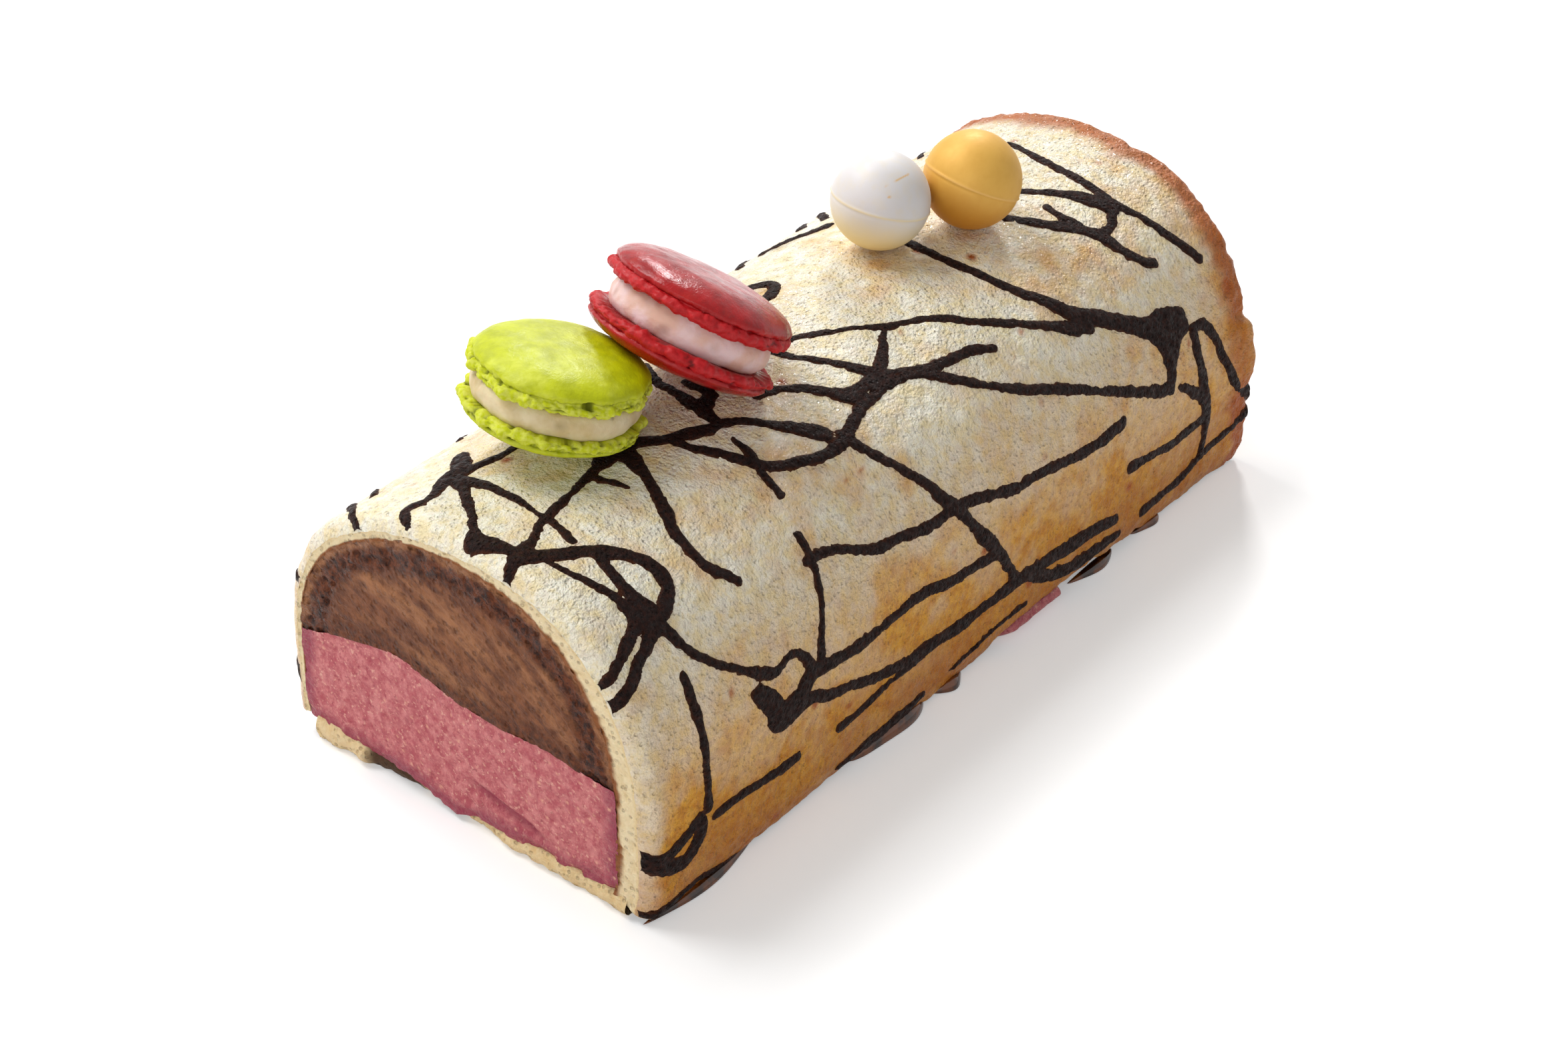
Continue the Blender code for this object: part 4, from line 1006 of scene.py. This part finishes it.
def syrup():
    """Syrup run together at the foot of the long side: a thin film and beads that cling to the cake."""
    look = Look("syrup", "sponge")
    look.colour(look.mix(look.band(look.noise(5.0), 0.4, 0.6), srgb(120, 62, 12), srgb(46, 20, 8)))
    look.bump(look.noise(4.0, 2.0), 0.1, 0.2)
    look.set(rough=0.06, spec=0.6)
    parts = ((-101.5, -70.0, 1.6, 1.5), (-41.0, -16.0, 2.7, 3.5), (-13.0, -3.0, 1.9, 2.2),
             (36.0, 53.0, 1.6, 1.7), (60.0, 71.0, 1.6, 1.7))
    vertices, faces = [], []
    rows, columns = 14, 60
    t = np.linspace(0.0, 1.0, columns)
    a = np.linspace(0.0, math.pi, rows)[:, None]
    for begin, end, wide, tall in parts:
        x = begin + (end - begin) * t
        swell = np.clip(np.sin(math.pi * t), 0.0, 1.0) ** 0.6 * (0.82 + 0.18 * np.sin(5.0 * t + begin))
        foot = -45.4 - 1.0 * (x - FRONT) / LENGTH
        y = foot + 1.4 - (1.4 + wide) * swell * (0.5 - 0.5 * np.cos(a))
        z = 0.05 + tall * swell * np.sin(a) ** 0.7
        faces += grid_faces(rows, columns, sum(len(v) for v in vertices), flip=True)
        vertices.append(np.stack([x * np.ones_like(a), y, z], -1).reshape(-1, 3))
    piece = add_mesh("syrup", np.vstack(vertices), faces, look.material)


def body_loft(name, node, look):
    """The mousse between the two cut faces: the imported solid's own mesh, finished like its faces."""
    source = frame["nodes"][node]
    piece = source.copy()
    piece.data = source.data.copy()
    piece.name = name
    piece.parent = None
    piece.matrix_world = source.matrix_world
    bpy.context.scene.collection.objects.link(piece)
    mesh = piece.data
    place = np.array([tuple(source.matrix_world @ v.co) for v in mesh.vertices])
    place[:, 0] = np.clip(place[:, 0], -BODY_END * 0.001, BODY_END * 0.001)
    back = np.array(source.matrix_world.inverted())
    local = place @ back[:3, :3].T + back[:3, 3]
    mesh.vertices.foreach_set("co", local.ravel())
    mesh.materials.clear()
    mesh.materials.append(look.material)
    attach(piece, "root")
    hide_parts(node)


SPONGE = sponge_look()
CUT = crumb_look("sponge_cut", light=srgb(244, 230, 196), dark=srgb(228, 200, 148), stain=srgb(132, 70, 26))
CRUMB = crumb_look("base_crumb", light=srgb(244, 228, 190), dark=srgb(214, 176, 116), stain=srgb(62, 34, 20))
CHOCOLATE = chocolate_look()
PINK = pink_look()
STROKE = stroke_look()
RED = shell_look("red_shell", "red_macaron_shell", main=srgb(172, 10, 16), shade=srgb(140, 6, 10),
                 foot_light=srgb(190, 26, 32), bloom_and_sheen=srgb(180, 44, 26), rough=0.16, spec=0.3)
GREEN = shell_look("green_shell", "green_macaron_shell", main=srgb(196, 204, 8), shade=srgb(172, 180, 4),
                   foot_light=srgb(212, 216, 84), bloom_and_sheen=srgb(212, 218, 70), rough=0.38, spec=0.3)
RED_CREAM = cream_look("red_cream", "red_macaron_filling", light=srgb(236, 206, 204), dark=srgb(226, 182, 162))
GREEN_CREAM = cream_look("green_cream", "green_macaron_filling", light=srgb(226, 208, 170),
                         dark=srgb(206, 182, 132))
# the low colours are painted shade (golden ball) and painted reflection of the golden board (white ball) on the
# undersides
PEARL = ball_look("pearl", "white_ball", top=srgb(222, 218, 217), low=srgb(236, 210, 140),
                  seam=srgb(240, 220, 170), metal=0.05, rough=0.50)
GOLD = ball_look("gold_dust", "gold_ball", top=srgb(222, 172, 78), low=srgb(190, 122, 24),
                 seam=srgb(232, 184, 104), metal=0.16, rough=0.52)

sheet = sponge_wrap()
ring_face("sponge_cut_front", FRONT, -1.0, sheet[0])
ring_face("sponge_cut_back", FAR_FACE, 1.0, sheet[-1])
body_loft("chocolate_body", "chocolate_mousse", CHOCOLATE)
body_loft("pink_body", "pink_mousse", PINK)
chocolate_face(FRONT, -1.0, "chocolate_face_front")
chocolate_face(FILLING_FAR_FACE, 1.0, "chocolate_face_back")
pink_face(FRONT, -1.0, "pink_face_front")
pink_face(FILLING_FAR_FACE, 1.0, "pink_face_back")
pink_sliver()
base_sponge()
chocolate_strokes()
macaron("green_macaron", centre=(-65.5, 7.4, 77.3), tilt=15.0, turn=-16.0, radius=17.0, fill_radius=16.4,
        filling=5.7, domes=(4.6, 3.0), shell=GREEN, cream=GREEN_CREAM, crumble=1.35, seed=3)
macaron("red_macaron", centre=(-37.9, -1.6, 82.8), tilt=33.0, turn=-13.0, radius=18.6, fill_radius=16.2,
        filling=6.7, domes=(4.7, 3.9), shell=RED, cream=RED_CREAM, crumble=0.85, seed=8)
ball("white_ball", "pearl_ball", lean=14.0, look=PEARL, scratched=1.0)
ball("gold_ball", "golden_ball", lean=24.0, look=GOLD, scratched=0.0)
syrup()


# ---- stage ----
def floor():
    mesh = bpy.data.meshes.new("floor")
    s = FLOOR_HALF
    mesh.from_pydata([(-s, -s, 0), (s, -s, 0), (s, s, 0), (-s, s, 0)], [], [(0, 1, 2, 3)])
    look = Look("floor", "")
    look.colour((0.86, 0.855, 0.85))
    look.set(rough=0.75, spec=0.2)
    look.shader.inputs["Emission Color"].default_value = (1.0, 1.0, 1.0, 1.0)
    look.join(seen_rays(look.tree, 0.0, FLOOR_LIFT), look.shader.inputs["Emission Strength"])
    mesh.materials.append(look.material)
    piece = bpy.data.objects.new("floor", mesh)
    piece.location.z = -FLOOR_DROP
    bpy.context.scene.collection.objects.link(piece)


def seen_rays(tree, hidden, shown):
    """One value for camera, mirror and glass rays, another for all the rest."""
    path = tree.nodes.new("ShaderNodeLightPath")
    value = path.outputs["Is Camera Ray"]
    for name in ("Is Glossy Ray", "Is Transmission Ray"):
        most = tree.nodes.new("ShaderNodeMath")
        most.operation = "MAXIMUM"
        tree.links.new(value, most.inputs[0])
        tree.links.new(path.outputs[name], most.inputs[1])
        value = most.outputs["Value"]
    ranged = tree.nodes.new("ShaderNodeMapRange")
    ranged.inputs["To Min"].default_value = hidden
    ranged.inputs["To Max"].default_value = shown
    tree.links.new(value, ranged.inputs["Value"])
    return ranged.outputs["Result"]


def light(name, place, aim, size, watts):
    data = bpy.data.lights.new(name, "AREA")
    data.shape = "RECTANGLE"
    data.size, data.size_y = size
    data.energy = watts
    lamp = bpy.data.objects.new(name, data)
    lamp.location = place
    lamp.rotation_euler = (Vector(aim) - Vector(place)).to_track_quat("-Z", "Y").to_euler()
    bpy.context.scene.collection.objects.link(lamp)


def world():
    made = bpy.data.worlds.new("studio")
    bpy.context.scene.world = made
    made.use_nodes = True
    tree = made.node_tree
    shown = tree.nodes["Background"]
    shown.inputs["Color"].default_value = (1.0, 1.0, 1.0, 1.0)
    tree.links.new(seen_rays(tree, AMBIENT, 1.0), shown.inputs["Strength"])


def camera():
    data = bpy.data.cameras.new("view")
    data.lens = CAMERA_LENS
    data.sensor_width = 36.0
    data.clip_start, data.clip_end = 0.01, 50.0
    eye = bpy.data.objects.new("view", data)
    look, right = Vector(CAMERA_LOOK).normalized(), Vector(CAMERA_RIGHT)
    right = (right - look * right.dot(look)).normalized()
    up = right.cross(look)
    turn = Matrix((right, up, -look)).transposed().to_4x4()
    eye.matrix_world = Matrix.Translation(Vector(CAMERA_PLACE) * 0.001) @ turn
    bpy.context.scene.collection.objects.link(eye)
    bpy.context.scene.camera = eye


floor()
world()
light("window", place=(-0.15, 0.62, 0.95), aim=(0.0, 0.0, 0.04), size=(0.7, 0.5), watts=9.8)
light("back_window", place=(0.95, 0.60, 0.80), aim=(0.0, 0.0, 0.06), size=(0.2, 0.2), watts=8.0)
light("front_fill", place=(-1.0, -0.35, 0.45), aim=(0.0, 0.0, 0.04), size=(0.9, 0.9), watts=3.6)
camera()
bpy.context.scene.view_settings.view_transform = "Standard"
